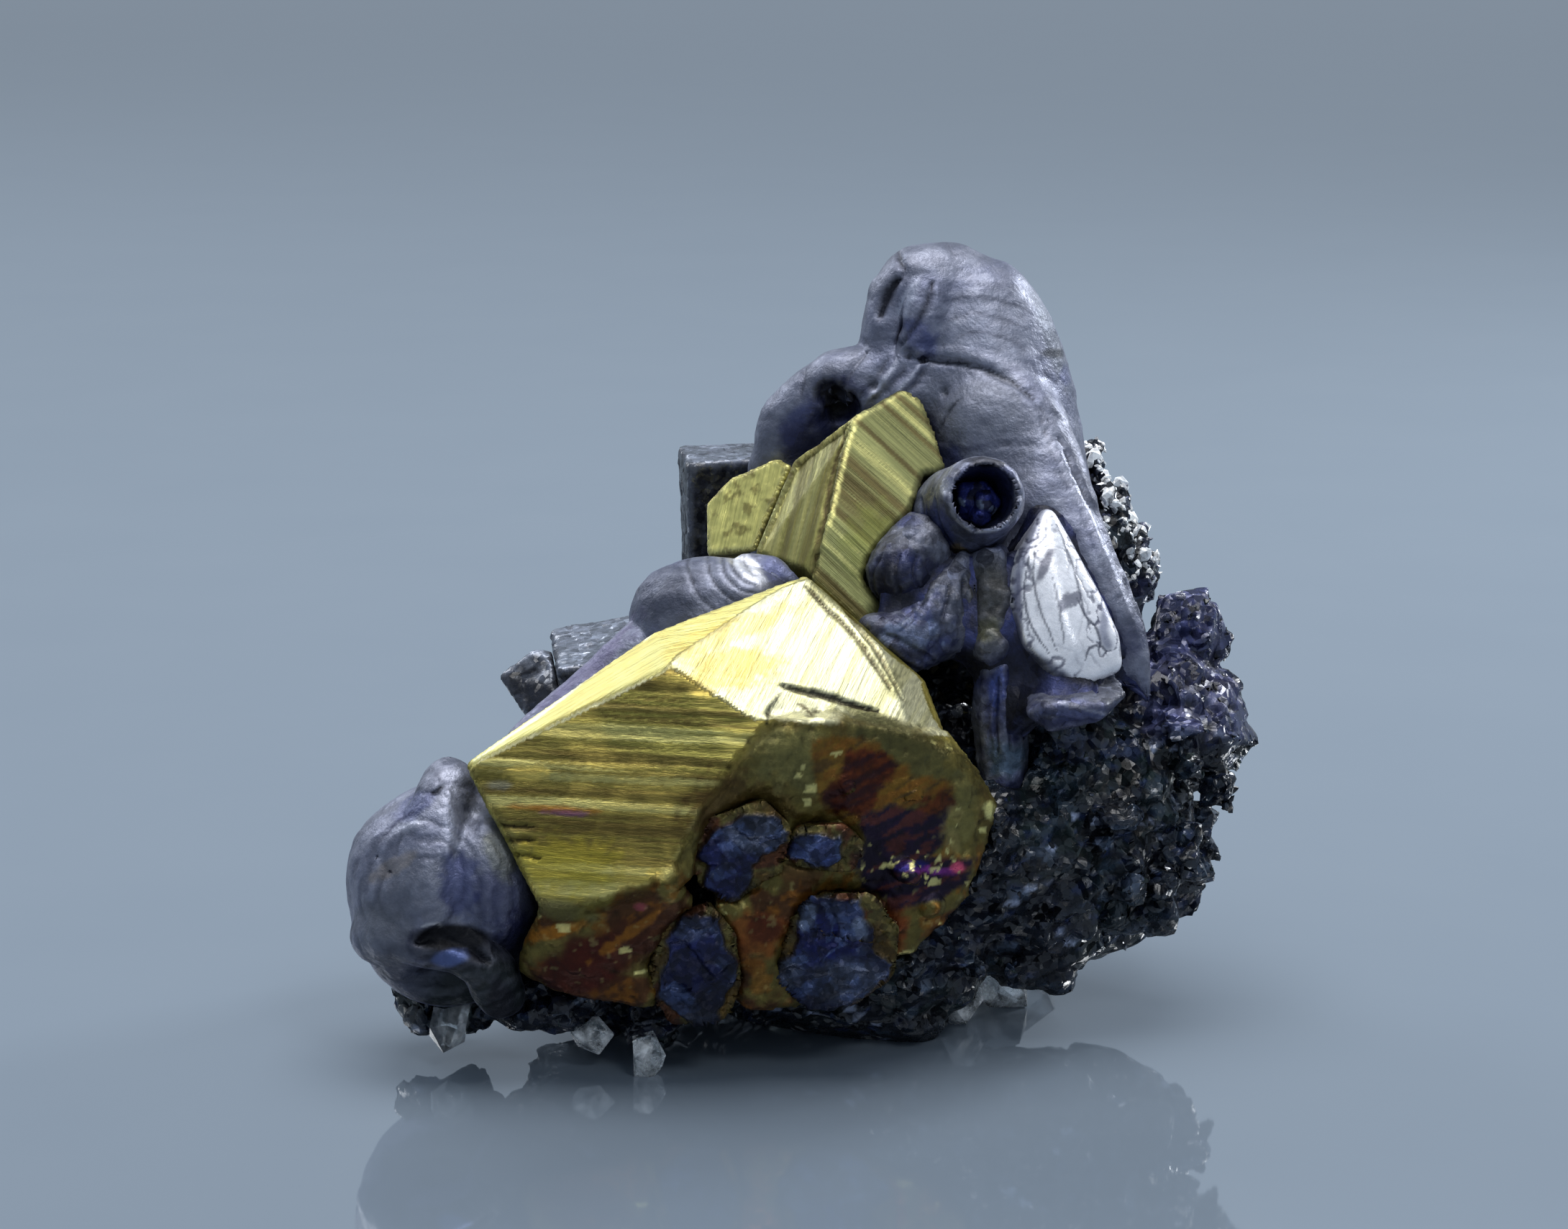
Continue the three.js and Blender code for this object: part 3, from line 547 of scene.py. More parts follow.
def spots(skin, marks, seed=31):
    """Lays coloured patches: colour, shine, strength, then the ellipse in photo pixels."""
    for k, (tone, shine, strength, *ellipse) in enumerate(marks):
        skin.colour(tone, strength * skin.spot(*ellipse, seed=seed + k), shine)


def drawn(skin, lines):
    """Lays coloured lines: colour, shine, strength, half width, points in photo pixels."""
    for tone, shine, strength, width, points in lines:
        skin.colour(tone, strength * smoothstep(0, 0.8, skin.line(points, width, 6.0)), shine)


def galena_base(skin, blue, seed, light=0.0):
    """Lilac-grey with soft clouds of blue, painted light in lit lilac by the given share, and painted shade
    on the surfaces that face down.
    """
    clouds = layered(skin.co * 0.35, 4, seed)
    skin.colour(LILAC, 1.0, 0.5)
    skin.colour(LIT_LILAC, light, 0.6)
    skin.colour(SHADE_BLUE, blue * smoothstep(0.42, 0.66, clouds), 0.5)
    skin.colour(DUSK, 0.4 * smoothstep(0.5, 0.3, clouds), 0.35)
    # Painted shade: surfaces that face down get shade blue laid over them.
    painted_underside_shade = smoothstep(0.1, -0.7, skin.normal[:, 2])
    skin.colour(SHADE_BLUE, 0.4 * painted_underside_shade)


def painted_edge_light_and_hollow_shade(skin, scale, light, dark, pale=LIT_LILAC, deep=NIGHT):
    """Painted highlights on edges and painted shade in hollows."""
    bend = skin.bent()
    skin.colour(pale, light * smoothstep(0.15 * scale, scale, bend), 0.8)
    skin.colour(deep, dark * smoothstep(-0.15 * scale, -scale, bend), 0.2)


# The horn, dome, shoulder and double spine of the galena

HORN_GROOVES = [
    (-0.5, 13, [(1250, 384), (1238, 402), (1227, 424), (1221, 444)]),
    (0.22, 14, [(1278, 388), (1262, 420), (1247, 452), (1240, 476)]),
    (-0.25, 9, [(1296, 392), (1287, 424), (1270, 456), (1250, 482)]),
    (-0.25, 6, [(1248, 348), (1252, 364), (1259, 378), (1244, 392)]),
    (-0.2, 7, [(1262, 497), (1300, 502), (1350, 508), (1400, 528), (1440, 557), (1466, 592)]),
    (0.15, 14, [(1262, 486), (1300, 489), (1350, 495), (1403, 512), (1446, 542), (1474, 582)]),
    (-0.15, 4, [(1336, 552), (1322, 568), (1310, 588), (1303, 606)]),
    (-0.12, 5, [(1304, 610), (1340, 627), (1372, 622), (1404, 617)]),
    (-0.25, 9, [(1206, 488), (1186, 512), (1160, 556)]),
    (-0.2, 8, [(1236, 494), (1222, 516), (1196, 556)]),
    (-0.2, 8, [(1262, 506), (1244, 530), (1214, 560)]),
    (0.15, 7, [(1250, 496), (1236, 520), (1206, 556)]),
    (-0.2, 7, [(1292, 506), (1274, 530), (1250, 556)]),
    (0.14, 6, [(1283, 502), (1266, 526), (1240, 554)]),
    (-0.2, 5, [(1118, 500), (1116, 530), (1112, 560)]),
    (-0.25, 6, [(1470, 600), (1500, 668), (1538, 742), (1572, 824), (1590, 866)]),
    (0.15, 8, [(1456, 600), (1486, 668), (1522, 742), (1556, 824), (1580, 880)]),
    (-0.2, 5, [(1440, 560), (1470, 640), (1500, 700), (1530, 770), (1556, 830)]),
]

HORN_PITS = [
    (1262, 493, 10, 0.35),
    (1216, 536, 7, 0.2),
    (1283, 500, 5, 0.2),
    (1150, 545, 20, 0.7),
    (1172, 566, 24, 0.8),
    (1312, 545, 7, 0.2),
]

# Patches of the horn's own tones, with a painted lit area on its face near 1385, 460, painted shade in the
# pits near 1160, 556 and a painted highlight on the ridge near 1262, 415.
HORN_PATCHES = [
    (LIT_LILAC, 0.7, 0.4, 1385, 460, 80, 70, 20),
    (colour(92, 98, 112), 0.4, 0.9, 1466, 460, 20, 100, -18, 0.2),
    (colour(40, 46, 58), 0.3, 0.9, 1466, 491, 20, 8, 0, 0.2),
    (SHADE_BLUE, 0.6, 0.5, 1482, 520, 9, 16),
    (colour(108, 112, 126), 0.35, 0.8, 1372, 570, 66, 50, 0, 0.2),
    (DEEP_BLUE, 0.6, 0.95, 1286, 610, 22, 60, -18, 0.3),
    (SHADE_BLUE, 0.6, 0.7, 1312, 640, 30, 30),
    (SHADE_BLUE, 0.6, 0.6, 1282, 470, 34, 20, 50),
    (DEEP_BLUE, 0.7, 0.95, 1162, 565, 44, 52, 25, 0.3),
    (NIGHT, 0.2, 0.95, 1160, 556, 28, 34, 20, 0.3),
    (SHADE_BLUE, 0.6, 0.6, 1120, 600, 40, 50),
    (DEEP_BLUE, 0.6, 0.8, 1110, 616, 34, 36),
    (colour(190, 195, 215), 0.8, 0.5, 1262, 415, 10, 34, 25),
    (DEEP_BLUE, 0.4, 0.8, 1400, 900, 200, 60, 0, 0.3),
]

# Most dark lines lie in the grooves as painted shade, and the lit lilac lines lie on the ridges as painted
# highlights; the last three are faint bands.
HORN_LINES = [
    (NIGHT, 0.1, 0.9, 14, [(1250, 386), (1238, 404), (1228, 424), (1222, 442)]),
    (colour(50, 52, 66), 0.3, 0.8, 7, [(1296, 392), (1287, 424), (1270, 456), (1250, 482)]),
    (colour(40, 42, 56), 0.3, 0.8, 5, [(1248, 348), (1252, 364), (1259, 378)]),
    (NIGHT, 0.3, 0.75, 5, [(1262, 497), (1300, 502), (1350, 508), (1400, 528), (1440, 557)]),
    (colour(40, 42, 52), 0.3, 0.8, 4, [(1336, 552), (1322, 568), (1310, 588), (1303, 606)]),
    (LIT_LILAC, 0.9, 0.7, 6, [(1250, 496), (1236, 520), (1206, 556)]),
    (LIT_LILAC, 0.9, 0.6, 5, [(1283, 502), (1266, 526), (1240, 554)]),
    (LIT_LILAC, 0.8, 0.5, 9, [(1444, 590), (1474, 640), (1508, 700), (1540, 770), (1572, 850)]),
    (DUSK, 0.4, 0.9, 10, [(1476, 600), (1506, 660), (1544, 740), (1580, 830), (1600, 900)]),
    (DUSK, 0.4, 0.6, 5, [(1310, 420), (1350, 412), (1400, 420), (1440, 436)]),
    (DUSK, 0.4, 0.6, 4, [(1316, 446), (1360, 436), (1404, 446), (1436, 462)]),
    (DUSK, 0.4, 0.6, 4, [(1330, 470), (1362, 462), (1400, 470), (1424, 486)]),
]


def make_main():
    skin = fine_skin("galena_main")
    skin.relax(52, 0.28)
    skin.push(SEAM)
    tail = smoothstep(850, 1010, skin.xy[:, 1]) * smoothstep(1500, 1560, skin.xy[:, 0])
    skin.push(-1.6 * tail)
    swell = uneven(skin.co * 0.22, 3, 4)
    folds = uneven(skin.co * np.array([0.5, 0.5, 0.9]), 4, 9)
    skin.push(0.4 * swell + 0.3 * folds)
    skin.carve(HORN_GROOVES)
    for k, (x, y, radius, depth) in enumerate(HORN_PITS):
        skin.push(-depth * skin.spot(x, y, radius, radius, broken=0.15, seed=k))
    galena_base(skin, 0.2, 2)
    wander = 0.8 * layered(skin.co * 0.7, 3, 6)[:, None]
    growth = layered(skin.co * np.array([0.5, 0.5, 2.4]) + wander, 3, 8)
    skin.colour(LIT_LILAC, 0.25 * smoothstep(0.52, 0.62, growth) * skin.front, 0.7)
    skin.colour(DUSK, 0.25 * smoothstep(0.47, 0.38, growth), 0.4)
    spots(skin, HORN_PATCHES)
    drawn(skin, HORN_LINES)
    painted_edge_light_and_hollow_shade(skin, 0.034, 0.12, 0.6)
    skin.write("galena_horn_and_spine", GALENA, "galena")


# Dark blue galena that runs on between the tubes, the teardrop and the spine

FILLET_NODES = ["galena_main", "galena_stub_tube", "galena_flared_tube", "galena_wedge", "galena_shelf",
                "galena_column"]
FILLET_AREA = (1380, 850, 230, 250, 0, 0.1)


def make_fillets():
    skin = Skin(FILLET_NODES, FILLET_STEP, 1.2)
    skin.soften(6)
    among = skin.spot(*FILLET_AREA)
    high = smoothstep(640, 700, skin.xy[:, 1] - 0.3 * np.maximum(1400 - skin.xy[:, 0], 0))
    skin.push(0.1 + 0.5 * (layered(skin.co * 0.55, 4, 62) - 0.6) - 1.1 * (1 - among * high))
    skin.colour(colour(34, 38, 66), 1.0, 0.5)
    clouds = layered(skin.co * 0.6, 4, 63)
    skin.colour(SHADE_BLUE, 0.5 * smoothstep(0.5, 0.62, clouds), 0.7)
    skin.colour(NIGHT, 0.85 * smoothstep(0.5, 0.4, clouds), 0.3)
    painted_edge_light_and_hollow_shade(skin, 0.036, 0.1, 0.5)
    skin.write("galena_fillets", BLUE_GALENA, "blue_galena", False)


# The rolled lump at the left

LUMP_MIDDLE = (585, 1236)
LUMP_CREASE = (534, 1206, 40, 34, 0, 0)
LUMP_SHADED_HOLLOW = (628, 1304, 58, 22)
HOLLOW_GLEAM = (626, 1330, 28, 12, -10, 0.2)

LUMP_GROOVES = [
    (0.1, 14, [(540, 1170), (560, 1156), (584, 1144)]),
    (0.16, 22, [(624, 1100), (622, 1130), (626, 1160), (620, 1190)]),
    (-0.6, 24, [(578, 1312), (610, 1302), (650, 1312), (680, 1336)]),
    (-0.15, 6, [(600, 1102), (609, 1098), (620, 1090)]),
]

# The lump's own tones, with painted highlights in lit lilac, the hollow under the roll painted near black as
# painted shade, and a painted blue gleam at the hollow's foot.
LUMP_PATCHES = [
    (colour(104, 108, 122), 0.4, 0.7, 585, 1240, 60, 54),
    (colour(92, 96, 106), 0.35, 0.7, 530, 1310, 46, 60, -20),
    (SHADE_BLUE, 0.6, 0.55, 576, 1120, 34, 16, -30),
    (colour(130, 122, 116), 0.5, 0.5, 545, 1206, 44, 12, -32),
    (SHADE_BLUE, 0.5, 0.6, 640, 1230, 30, 50),
    (DEEP_BLUE, 0.5, 0.6, 700, 1250, 44, 60),
    (colour(96, 98, 74), 0.4, 0.5, 694, 1190, 24, 44, -20),
    (DEEP_BLUE, 0.5, 0.8, 722, 1300, 34, 38),
    (NIGHT, 0.2, 0.8, 744, 1240, 12, 70, -20),
    (NIGHT, 0.1, 0.95, 618, 1320, 50, 22, 4, 0.25),
    (DEEP_BLUE, 0.4, 0.7, 588, 1308, 22, 24),
    (LIT_LILAC, 0.9, 0.4, 624, 1130, 20, 50, 0, 1.2),
    (LIT_LILAC, 0.9, 0.6, 566, 1150, 24, 7, -20),
    (LIT_LILAC, 0.9, 0.5, 625, 1078, 18, 8),
    (LIT_LILAC, 0.9, 0.5, 664, 1134, 9, 8),
    (colour(22, 30, 32), 0.5, 0.98, 684, 1400, 130, 92, 6, 0.15),
    (NIGHT, 0.0, 1.0, 632, 1318, 70, 32, 8, 0.15),
    (NIGHT, 0.1, 0.9, 700, 1400, 24, 44, -20, 0.4),
    (colour(70, 84, 128), 0.7, 0.9, 626, 1332, 28, 13, -10, 0.3),
    (colour(48, 52, 66), 0.3, 0.6, 560, 1350, 60, 50, -20, 0.4),
    (colour(40, 48, 50), 0.4, 0.6, 540, 1404, 40, 30, 30, 0.8),
]

# The dark line in the groove near 600, 1102 and the one under the arch are painted shade; the pale line along
# the arch is a painted highlight.
LUMP_LINES = [
    (NIGHT, 0.1, 0.9, 4, [(600, 1102), (609, 1098), (620, 1090)]),
    (colour(64, 66, 92), 0.3, 0.6, 3, [(530, 1166), (552, 1142), (580, 1126)]),
    (colour(200, 200, 206), 0.9, 0.7, 3, [(584, 1290), (606, 1283), (628, 1296)]),
    (NIGHT, 0.1, 0.8, 6, [(577, 1352), (600, 1340), (640, 1322)]),
]


def make_ball():
    skin = fine_skin("galena_ball")
    skin.relax(49, 0.26)
    skin.soften(62, skin.spot(*LUMP_CREASE))
    skin.push(SEAM)
    skin.push(0.35 * uneven(skin.co * 0.3, 3, 12) + 0.18 * uneven(skin.co * 0.9, 4, 15))
    skin.carve(LUMP_GROOVES)
    galena_base(skin, 0.15, 7)
    x, y = skin.xy.T
    away = np.hypot(x - LUMP_MIDDLE[0], (y - LUMP_MIDDLE[1]) * 0.85)
    rings = np.sin((away + 70 * layered(skin.co * 0.5, 4, 3)) / 4.5)
    skin.push(-0.05 * smoothstep(0.2, 0.9, rings) * skin.front)
    skin.colour(DUSK, 0.45 * smoothstep(0.2, 0.9, rings) * skin.front)
    skin.colour(LIT_LILAC, 0.15 * smoothstep(-0.4, -0.95, rings) * skin.front)
    spots(skin, LUMP_PATCHES)
    drawn(skin, LUMP_LINES)
    painted_edge_light_and_hollow_shade(skin, 0.017, 0.12, 0.6)
    x, y = skin.xy.T
    middle_x, middle_y, half_wide, half_high = LUMP_SHADED_HOLLOW
    inside = 1 - smoothstep(0.7, 1.1, np.hypot((x - middle_x) / half_wide, (y - middle_y) / half_high))
    # Painted shade: the hollow is painted near black, then a painted gleam of blue is laid at its foot.
    skin.colour(NIGHT * 0.5, inside * (skin.co[:, 1] < -9), 0.0)
    skin.colour(colour(74, 88, 134), 0.9 * skin.spot(*HOLLOW_GLEAM), 0.8)
    skin.write("galena_rolled_lump", GALENA, "galena")


# Pieces that follow the same steps, each with its own grooves and patches

def make_crust():
    skin = fine_skin("tube_crust")
    skin.push(0.3)
    lift, ident = facets(skin.co, 0.5, 43, 0.9)
    skin.push(0.35 * lift)
    skin.colour(colour(34, 42, 104), 1.0, 0.6)
    skin.colour(NIGHT, 0.85 * smoothstep(0.55, 0.6, ident), 0.3)
    skin.colour(STEEL, 0.7 * smoothstep(0.86, 0.9, ident), 1.0)
    skin.write("crystals_in_tube", BLUE_GALENA, "blue_galena")


def galena_piece(node, name, slot, material, blue, lumps, grooves, patches, lines, seed,
                 mouth=None, relax=(11, 0.16), shade=1.0):
    """A rolled piece of galena. A mouth, in photo pixels, gets a thinner wall."""
    skin = fine_skin(node)
    skin.relax(*relax)
    skin.push(SEAM)
    if mouth:
        x, y, radius = mouth
        out = skin.xy - np.array([x, y])
        away = np.maximum(np.linalg.norm(out, axis=1), 1e-6)
        inward = -(skin.normal[:, 0] * out[:, 0] - skin.normal[:, 2] * out[:, 1]) / away
        skin.push(-0.45 * smoothstep(0.1, 0.5, inward) * (away < radius))
    broad, fine = lumps
    skin.push(broad * uneven(skin.co * 0.4, 3, seed) + fine * uneven(skin.co * 1.5, 4, seed + 5))
    skin.carve(grooves)
    galena_base(skin, blue, seed)
    spots(skin, patches, seed)
    drawn(skin, lines)
    painted_edge_light_and_hollow_shade(skin, 0.012, 0.12, 0.5)
    skin.paint[:, :3] *= shade
    skin.write(name, material, slot)


OPEN_TUBE_GROOVES = [
    (-0.12, 5, [(1300, 690), (1306, 730), (1326, 762)]),
    (-0.12, 5, [(1288, 710), (1296, 750), (1318, 784)]),
    (-0.12, 5, [(1280, 690), (1284, 740), (1300, 780)]),
]

# The tube's mouth is painted dark blue and near black inside as painted shade; the small lit lilac spots are
# painted highlights.
OPEN_TUBE_PATCHES = [
    (DUSK, 0.6, 0.8, 1310, 730, 50, 60),
    (SHADE_BLUE, 0.6, 0.7, 1300, 740, 30, 44, -20),
    (colour(34, 40, 92), 0.4, 0.97, 1367, 689, 50, 52, 0, 0.1),
    (NIGHT, 0.4, 0.6, 1376, 694, 30, 34, 0, 0.8),
    (LIT_LILAC, 0.9, 0.8, 1314, 678, 9, 14),
    (colour(130, 110, 60), 0.5, 0.7, 1333, 768, 12, 16),
    (NIGHT, 0.5, 0.8, 1375, 641, 34, 11, 0, 0.7),
    (LIT_LILAC, 0.8, 0.5, 1420, 700, 12, 30),
]

# Painted highlights along the rim of the mouth.
OPEN_TUBE_LINES = [
    (LIT_LILAC, 0.9, 0.7, 4, [(1330, 656), (1320, 690), (1330, 722), (1352, 740)]),
    (LIT_LILAC, 0.9, 0.7, 4, [(1352, 740), (1386, 736), (1412, 706), (1408, 664)]),
]

STUB_TUBE_GROOVES = [
    (-0.15, 6, [(1226, 770), (1210, 800), (1222, 836), (1250, 846)]),
    (-0.12, 5, [(1250, 770), (1244, 800), (1256, 836)]),
    (-0.12, 5, [(1276, 764), (1270, 796), (1280, 820)]),
]

STUB_TUBE_PATCHES = [
    (DEEP_BLUE, 0.5, 0.85, 1250, 806, 60, 54, 0, 0.6),
    (NIGHT, 0.3, 0.7, 1232, 810, 22, 30, 0, 0.8),
    (SHADE_BLUE, 0.7, 0.6, 1262, 780, 20, 16),
]

FLARED_TUBE_GROOVES = [
    (-0.15, 7, [(1230, 880), (1270, 900), (1300, 920)]),
    (0.15, 8, [(1210, 876), (1250, 908), (1290, 930)]),
    (-0.25, 6, [(1340, 800), (1344, 840), (1350, 880)]),
    (-0.12, 5, [(1290, 810), (1276, 850), (1250, 880)]),
    (-0.12, 5, [(1320, 810), (1310, 860), (1290, 900)]),
]

FLARED_TUBE_PATCHES = [
    (DEEP_BLUE, 0.6, 0.8, 1260, 890, 70, 44, 20, 0.7),
    (SHADE_BLUE, 0.8, 0.6, 1290, 870, 40, 46, 0, 0.9),
    (DUSK, 0.8, 0.6, 1316, 846, 26, 40, 0, 0.7),
    (colour(72, 72, 70), 0.4, 0.9, 1372, 840, 36, 72, 0, 0.3),
    (STEEL, 0.8, 0.4, 1270, 880, 40, 20, 0, 1.2),
    (colour(98, 96, 60), 0.5, 0.5, 1374, 876, 24, 18),
]

FLARED_TUBE_LINES = [(LIT_LILAC, 0.9, 0.4, 4, [(1199, 869), (1240, 908), (1283, 934), (1330, 908)])]

SHELF_BLADE_GROOVES = [(-0.1, 5, [(1446, 990), (1490, 1000), (1540, 1006)])]

SHELF_BLADE_PATCHES = [
    (SHADE_BLUE, 0.8, 0.7, 1500, 990, 66, 22, 5, 0.5),
    (DEEP_BLUE, 0.6, 0.9, 1500, 1010, 70, 12, 5, 0.5),
]

SHELF_BLADE_LINES = [(LIT_LILAC, 0.9, 0.6, 4, [(1438, 972), (1480, 978), (1530, 990), (1562, 1000)])]

BLUE_COLUMN_GROOVES = [
    (-0.15, 5, [(1388, 940), (1384, 990), (1386, 1050)]),
    (-0.15, 5, [(1408, 930), (1404, 980), (1404, 1040)]),
]

BLUE_COLUMN_PATCHES = [
    (DEEP_BLUE, 0.7, 0.9, 1400, 970, 40, 70, 0, 0.5),
    (colour(52, 70, 140), 0.9, 0.6, 1386, 960, 12, 40, 0, 0.6),
    (colour(66, 88, 108), 0.6, 0.8, 1400, 1054, 30, 30),
]

# The near-white spot near 1034, 782 is a painted highlight.
SHELL_LOBE_PATCHES = [
    (SHADE_BLUE, 0.5, 0.6, 1090, 790, 34, 24, 0),
    (colour(232, 233, 242), 1.0, 0.97, 1034, 782, 44, 16, 48, 0.4),
    (DUSK, 0.5, 0.8, 930, 820, 60, 50, 0),
    (NIGHT, 0.2, 0.6, 1060, 820, 60, 10, -20),
    (colour(84, 78, 110), 0.5, 0.7, 800, 930, 120, 30, -38),
]


# The growth rings of the shell lobe, in photo pixels and degrees
RING_CENTRE = (1062, 776)
RING_SIZES = (24, 40, 52, 70, 96)
RING_WIDTH = 1.1
RING_ANGLES = (150, 180, 210, 240, 262)

TUBE_MOUTH = (1367, 689, 60)  # middle and radius in photo pixels


def make_galena_pieces():
    galena_piece("galena_open_tube", "open_tube", "galena", BLUE_GALENA, 0.5, (0.2, 0.15),
                 OPEN_TUBE_GROOVES, OPEN_TUBE_PATCHES, OPEN_TUBE_LINES, 41,
                 mouth=TUBE_MOUTH, relax=(19, 0.1), shade=0.8)
    galena_piece("galena_stub_tube", "stub_tube", "galena", BLUE_GALENA, 0.9, (0.2, 0.3),
                 STUB_TUBE_GROOVES, STUB_TUBE_PATCHES, (), 47, shade=0.6)
    galena_piece("galena_flared_tube", "flared_tube", "blue_galena", BLUE_GALENA, 0.7, (0.25, 0.35),
                 FLARED_TUBE_GROOVES, FLARED_TUBE_PATCHES, FLARED_TUBE_LINES, 53, shade=0.68)
    galena_piece("galena_shelf", "shelf_blade", "blue_galena", BLUE_GALENA, 0.5, (0.12, 0.12),
                 SHELF_BLADE_GROOVES, SHELF_BLADE_PATCHES, SHELF_BLADE_LINES, 59, relax=(3, 0.04), shade=0.6)
    galena_piece("galena_column", "blue_column", "blue_galena", BLUE_GALENA, 0.8, (0.2, 0.3),
                 BLUE_COLUMN_GROOVES, BLUE_COLUMN_PATCHES, (), 61, relax=(4, 0.06), shade=0.75)
    x, y = RING_CENTRE
    grooves = []
    lines = []
    for k, radius in enumerate(RING_SIZES):
        angles = [math.radians(a) for a in RING_ANGLES]
        points = [(x + radius * math.cos(a) * RING_WIDTH, y - radius * math.sin(a)) for a in angles]
        grooves.append((-0.09 + 0.01 * k, 6, points))
        # Dark lines in the ring grooves are painted shade; the lit lilac lines beside them are painted
        # highlights.
        lines.append((NIGHT, 0.2, 0.45, 3.5, points))
        beside = [(right - 6, down) for right, down in points]
        lines.append((LIT_LILAC, 0.9, 0.5 - 0.08 * k, 5, beside))
    galena_piece("galena_shell_lobe", "shell_lobe", "galena", GALENA, 0.35, (0.25, 0.12),
                 grooves, SHELL_LOBE_PATCHES, lines, 67)


# The bright teardrop

TEARDROP_LEFT = [
    (1455, 690), (1433, 743), (1417, 789), (1410, 835), (1413, 881), (1430, 905), (1448, 919), (1475, 938),
]

TEARDROP_RIGHT = [(1470, 690), (1498, 751), (1524, 804), (1538, 839), (1534, 877), (1540, 896)]

# The near-white spot near 1436, 701 is a painted highlight.
TEARDROP_PATCHES = [
    (colour(70, 72, 92), 0.4, 0.85, 1452, 786, 8, 30, 24, 0.5),
    (colour(84, 86, 106), 0.5, 0.8, 1478, 842, 20, 10, -40, 2.4),
    (colour(240, 241, 246), 1.0, 0.9, 1436, 701, 11, 13),
    (NIGHT, 0.2, 0.9, 1430, 674, 16, 6, 10, 0.3),
    (DUSK, 0.5, 0.8, 1446, 930, 60, 16, 24, 0.4),
    (colour(74, 76, 100), 0.5, 0.8, 1416, 850, 7, 60, 0, 0.3),
]

TEARDROP_LINES = [
    (DUSK, 0.4, 0.9, 3, [(1496, 830), (1512, 860), (1526, 876), (1532, 900)]),
    (DUSK, 0.4, 0.9, 3, [(1510, 918), (1516, 900), (1532, 898), (1540, 912)]),
    (DUSK, 0.5, 0.9, 3, [(1430, 770), (1424, 820), (1434, 870), (1460, 912)]),
    (DUSK, 0.5, 0.8, 3, [(1440, 750), (1436, 800), (1448, 850), (1470, 906)]),
    (DUSK, 0.5, 0.8, 3, [(1466, 720), (1490, 780), (1504, 838), (1518, 880)]),
    (DUSK, 0.5, 0.7, 3, [(1462, 800), (1474, 846), (1480, 900)]),
]


def make_wedge():
    skin = fine_skin("galena_wedge")
    skin.relax(22, 0.24)
    skin.push(SEAM)
    to_left, _ = distance_to(curve(TEARDROP_LEFT), skin.xy)
    to_right, _ = distance_to(curve(TEARDROP_RIGHT), skin.xy)
    inset = np.minimum(to_left, to_right)
    wander = layered(skin.co * 0.8, 4, 71)
    skin.push(0.12 * uneven(skin.co * 0.5, 3, 72))
    # Lit lilac over the whole piece is painted light.
    galena_base(skin, 0.1, 70, 0.7)
    waves = np.sin((inset + 60 * wander) / 3.0)
    lines = smoothstep(0.55, 0.95, waves) * smoothstep(44, 8, inset) * skin.front
    skin.push(-0.04 * lines)
    # Painted reflection: the teardrop's face, away from its edges, is laid over with near-white.
    skin.colour(colour(236, 237, 244), 0.95 * smoothstep(2, 12, inset) * skin.front, 0.9)
    skin.colour(colour(70, 72, 96), 0.85 * lines, 0.5)
    spots(skin, TEARDROP_PATCHES)
    drawn(skin, TEARDROP_LINES)
    painted_edge_light_and_hollow_shade(skin, 0.014, 0.0, 0.5)
    skin.write("bright_teardrop", BRIGHT_GALENA, "bright_galena")


# Cleavage patches in the tarnished front

CLEAVED_PATCHES = {
    "galena_patch_a": [
        (DEEP_BLUE, 0.6, 0.95, 1006, 1210, 50, 50, -20, 0.4),
        (SLATE, 0.9, 0.95, 1052, 1160, 50, 30, 0, 0.1),
    ],
    "galena_patch_b": [
        (colour(62, 76, 128), 0.9, 0.7, 1130, 1184, 40, 22, 0, 0.7),
    ],
    "galena_patch_c": [
        (DEEP_BLUE, 0.6, 0.85, 966, 1330, 60, 70, 0, 0.5),
        (SLATE, 0.8, 0.5, 960, 1290, 34, 20),
        (SLATE, 0.8, 0.7, 976, 1412, 32, 14),
    ],
    "galena_patch_d": [
        (colour(16, 22, 70), 0.5, 0.95, 1160, 1290, 74, 50, 0, 0.4),
        (STEEL, 0.9, 0.8, 1120, 1276, 14, 20, 20, 0.6),
        (STEEL, 0.9, 0.7, 1196, 1290, 12, 18, 10, 0.8),
        (SLATE, 0.9, 0.9, 1182, 1366, 60, 36, 0, 0.15),
        (SLATE, 0.9, 0.9, 1088, 1354, 32, 26, 0, 0.15),
    ],
}

CLEAVED_OUTLINES = [
    [(967, 1192), (975, 1173), (1007, 1147), (1039, 1131), (1078, 1134), (1099, 1155), (1092, 1171),
     (1068, 1190), (1048, 1202), (1041, 1230), (1028, 1252), (1001, 1252), (980, 1232), (986, 1204)],
    [(1082, 1187), (1100, 1162), (1114, 1156), (1168, 1163), (1174, 1195), (1151, 1210), (1124, 1204)],
    [(917, 1360), (932, 1301), (951, 1272), (1002, 1272), (1007, 1315), (1027, 1340), (1021, 1371),
     (1001, 1403), (1003, 1424), (969, 1432), (951, 1413), (916, 1390)],
    [(1104, 1250), (1119, 1241), (1194, 1249), (1201, 1278), (1214, 1291), (1217, 1323), (1243, 1341),
     (1237, 1361), (1200, 1389), (1177, 1405), (1156, 1413), (1124, 1413), (1112, 1392), (1074, 1371),
     (1054, 1357), (1081, 1336), (1106, 1328), (1110, 1291)],
]


